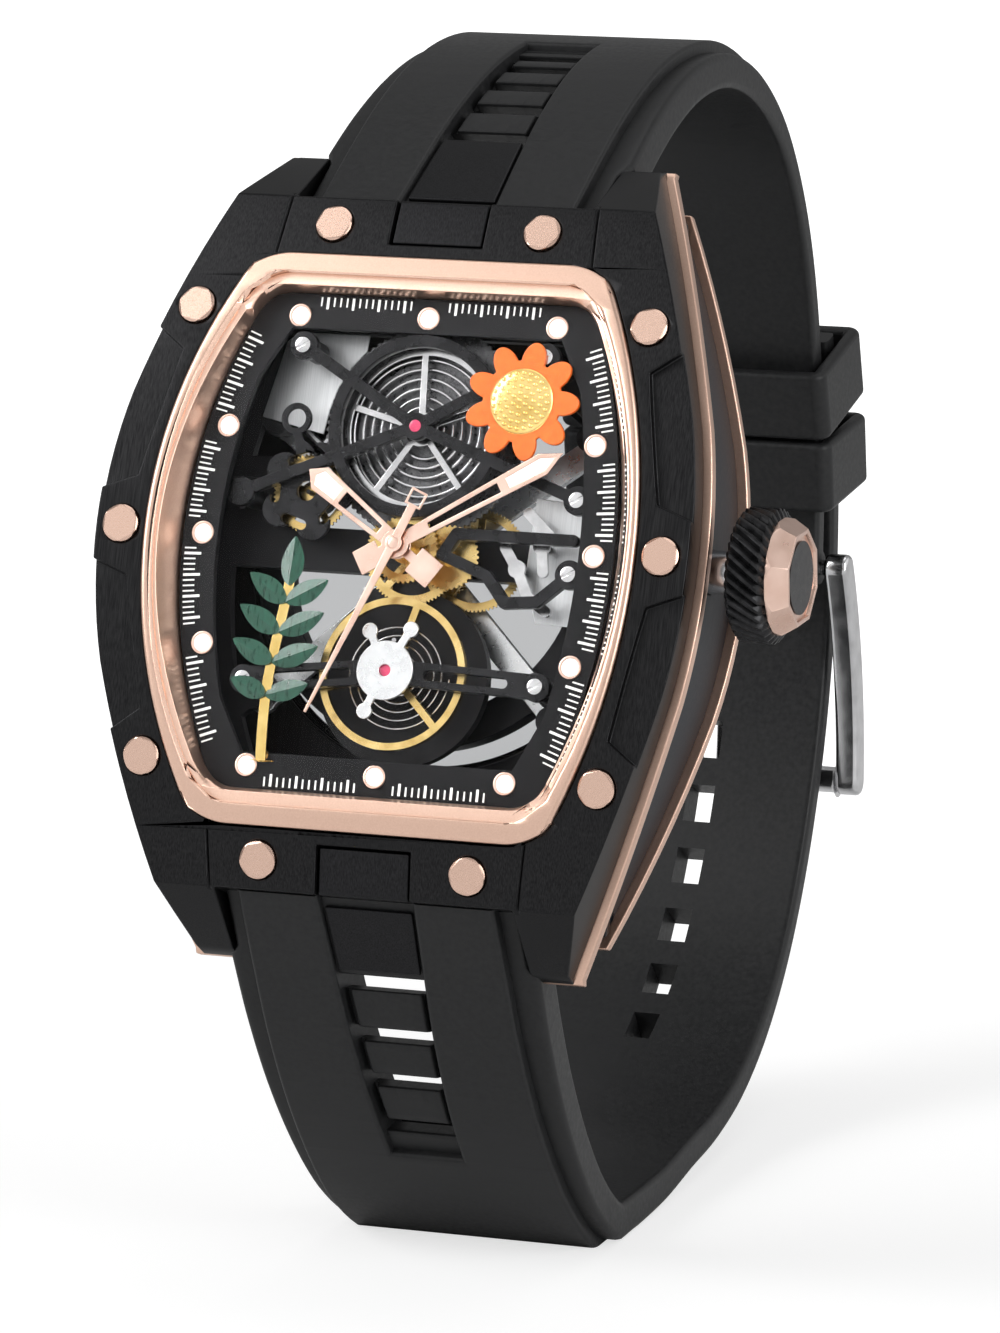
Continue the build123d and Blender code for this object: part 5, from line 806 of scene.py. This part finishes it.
world = bpy.data.worlds.new("studio")
scene.world = world
world.use_nodes = True
sky_links = world.node_tree.links
sky = world.node_tree.nodes["Background"]
sky.inputs["Color"].default_value = (1, 1, 1, 1)
sky.inputs["Strength"].default_value = 0.3
bright = world.node_tree.nodes.new("ShaderNodeBackground")
bright.inputs["Color"].default_value = (1, 1, 1, 1)
bright.inputs["Strength"].default_value = 1.0
mirrored = world.node_tree.nodes.new("ShaderNodeBackground")
mirrored.inputs["Color"].default_value = (1, 1, 1, 1)
sky_place = world.node_tree.nodes.new("ShaderNodeTexCoord")
sky_near = world.node_tree.nodes.new("ShaderNodeVectorMath")
sky_near.operation = "DOT_PRODUCT"
sky_near.inputs[1].default_value = watch_turn @ Vector((-0.33, 0.05, 0.94))
sky_gain = world.node_tree.nodes.new("ShaderNodeMapRange")
sky_gain.interpolation_type = "SMOOTHSTEP"
sky_gain.inputs["From Min"].default_value = 0.55
sky_gain.inputs["From Max"].default_value = 0.95
sky_gain.inputs["To Min"].default_value = 0.32
sky_gain.inputs["To Max"].default_value = 0.8
sky_side = world.node_tree.nodes.new("ShaderNodeVectorMath")
sky_side.operation = "DOT_PRODUCT"
sky_side.inputs[1].default_value = watch_turn @ Vector((0.95, 0.05, -0.1)).normalized()
side_gain = world.node_tree.nodes.new("ShaderNodeMapRange")
side_gain.interpolation_type = "SMOOTHSTEP"
side_gain.inputs["From Min"].default_value = 0.3
side_gain.inputs["From Max"].default_value = 0.85
side_gain.inputs["To Min"].default_value = 0.0
side_gain.inputs["To Max"].default_value = 1.0
sky_best = world.node_tree.nodes.new("ShaderNodeMath")
sky_best.operation = "MAXIMUM"
sky_shiny = world.node_tree.nodes.new("ShaderNodeMixShader")
sky_path = world.node_tree.nodes.new("ShaderNodeLightPath")
sky_seen = world.node_tree.nodes.new("ShaderNodeMath")
sky_seen.operation = "MAXIMUM"
sky_mix = world.node_tree.nodes.new("ShaderNodeMixShader")
sky_links.new(sky_path.outputs["Is Camera Ray"], sky_seen.inputs[0])
sky_links.new(sky_path.outputs["Is Transmission Ray"], sky_seen.inputs[1])
sky_links.new(sky_place.outputs["Generated"], sky_near.inputs[0])
sky_links.new(sky_near.outputs["Value"], sky_gain.inputs["Value"])
sky_links.new(sky_place.outputs["Generated"], sky_side.inputs[0])
sky_links.new(sky_side.outputs["Value"], side_gain.inputs["Value"])
sky_links.new(sky_gain.outputs["Result"], sky_best.inputs[0])
sky_links.new(side_gain.outputs["Result"], sky_best.inputs[1])
sky_links.new(sky_best.outputs["Value"], mirrored.inputs["Strength"])
sky_links.new(sky_path.outputs["Is Glossy Ray"], sky_shiny.inputs["Fac"])
sky_links.new(sky.outputs["Background"], sky_shiny.inputs[1])
sky_links.new(mirrored.outputs["Background"], sky_shiny.inputs[2])
sky_links.new(sky_seen.outputs["Value"], sky_mix.inputs["Fac"])
sky_links.new(sky_shiny.outputs["Shader"], sky_mix.inputs[1])
sky_links.new(bright.outputs["Background"], sky_mix.inputs[2])
sky_links.new(sky_mix.outputs["Shader"], world.node_tree.nodes["World Output"].inputs["Surface"])


def lamp(name, place, target, size, power):
    """A rectangular area lamp at a place, facing a target."""
    data = bpy.data.lights.new(name, "AREA")
    data.shape = "RECTANGLE"
    data.size, data.size_y = size
    data.energy = power
    item = bpy.data.objects.new(name, data)
    item.location = place
    item.rotation_euler = (Vector(target) - Vector(place)).to_track_quat("-Z", "Y").to_euler()
    scene.collection.objects.link(item)


lamp("key", (-0.55, -0.35, 0.45), hands_at, (0.3, 0.5), 3.2)
lamp("fill", (0.60, -0.25, 0.25), hands_at, (0.3, 0.6), 2.4)
lamp("top", (0.05, 0.15, 0.75), (0, 0, 0.05), (0.5, 0.4), 0.7)

yaw, pitch, roll = (math.radians(angle) for angle in (-20.5, -7.4226, -6.6790))
distance = 480.0
centre_x, centre_y = -7.66667, 8.61300
focal_pixels = 14.72309 * distance
photo_height = 1333
turned = Matrix.Rotation(roll, 3, "Z") @ Matrix.Rotation(pitch, 3, "X") @ Matrix.Rotation(yaw, 3, "Y")
camera_data = bpy.data.cameras.new("photo_camera")
camera = bpy.data.objects.new("photo_camera", camera_data)
scene.collection.objects.link(camera)
scene.camera = camera
camera_data.sensor_width = 36
camera_data.lens = focal_pixels * camera_data.sensor_width / photo_height
camera.location = watch_place @ (turned.transposed() @ Vector((-centre_x, -centre_y, distance)))
camera.rotation_euler = (watch_turn @ turned.transposed()).to_euler()
camera_data.clip_start, camera_data.clip_end = 0.01, 10
scene.view_settings.view_transform = "Standard"
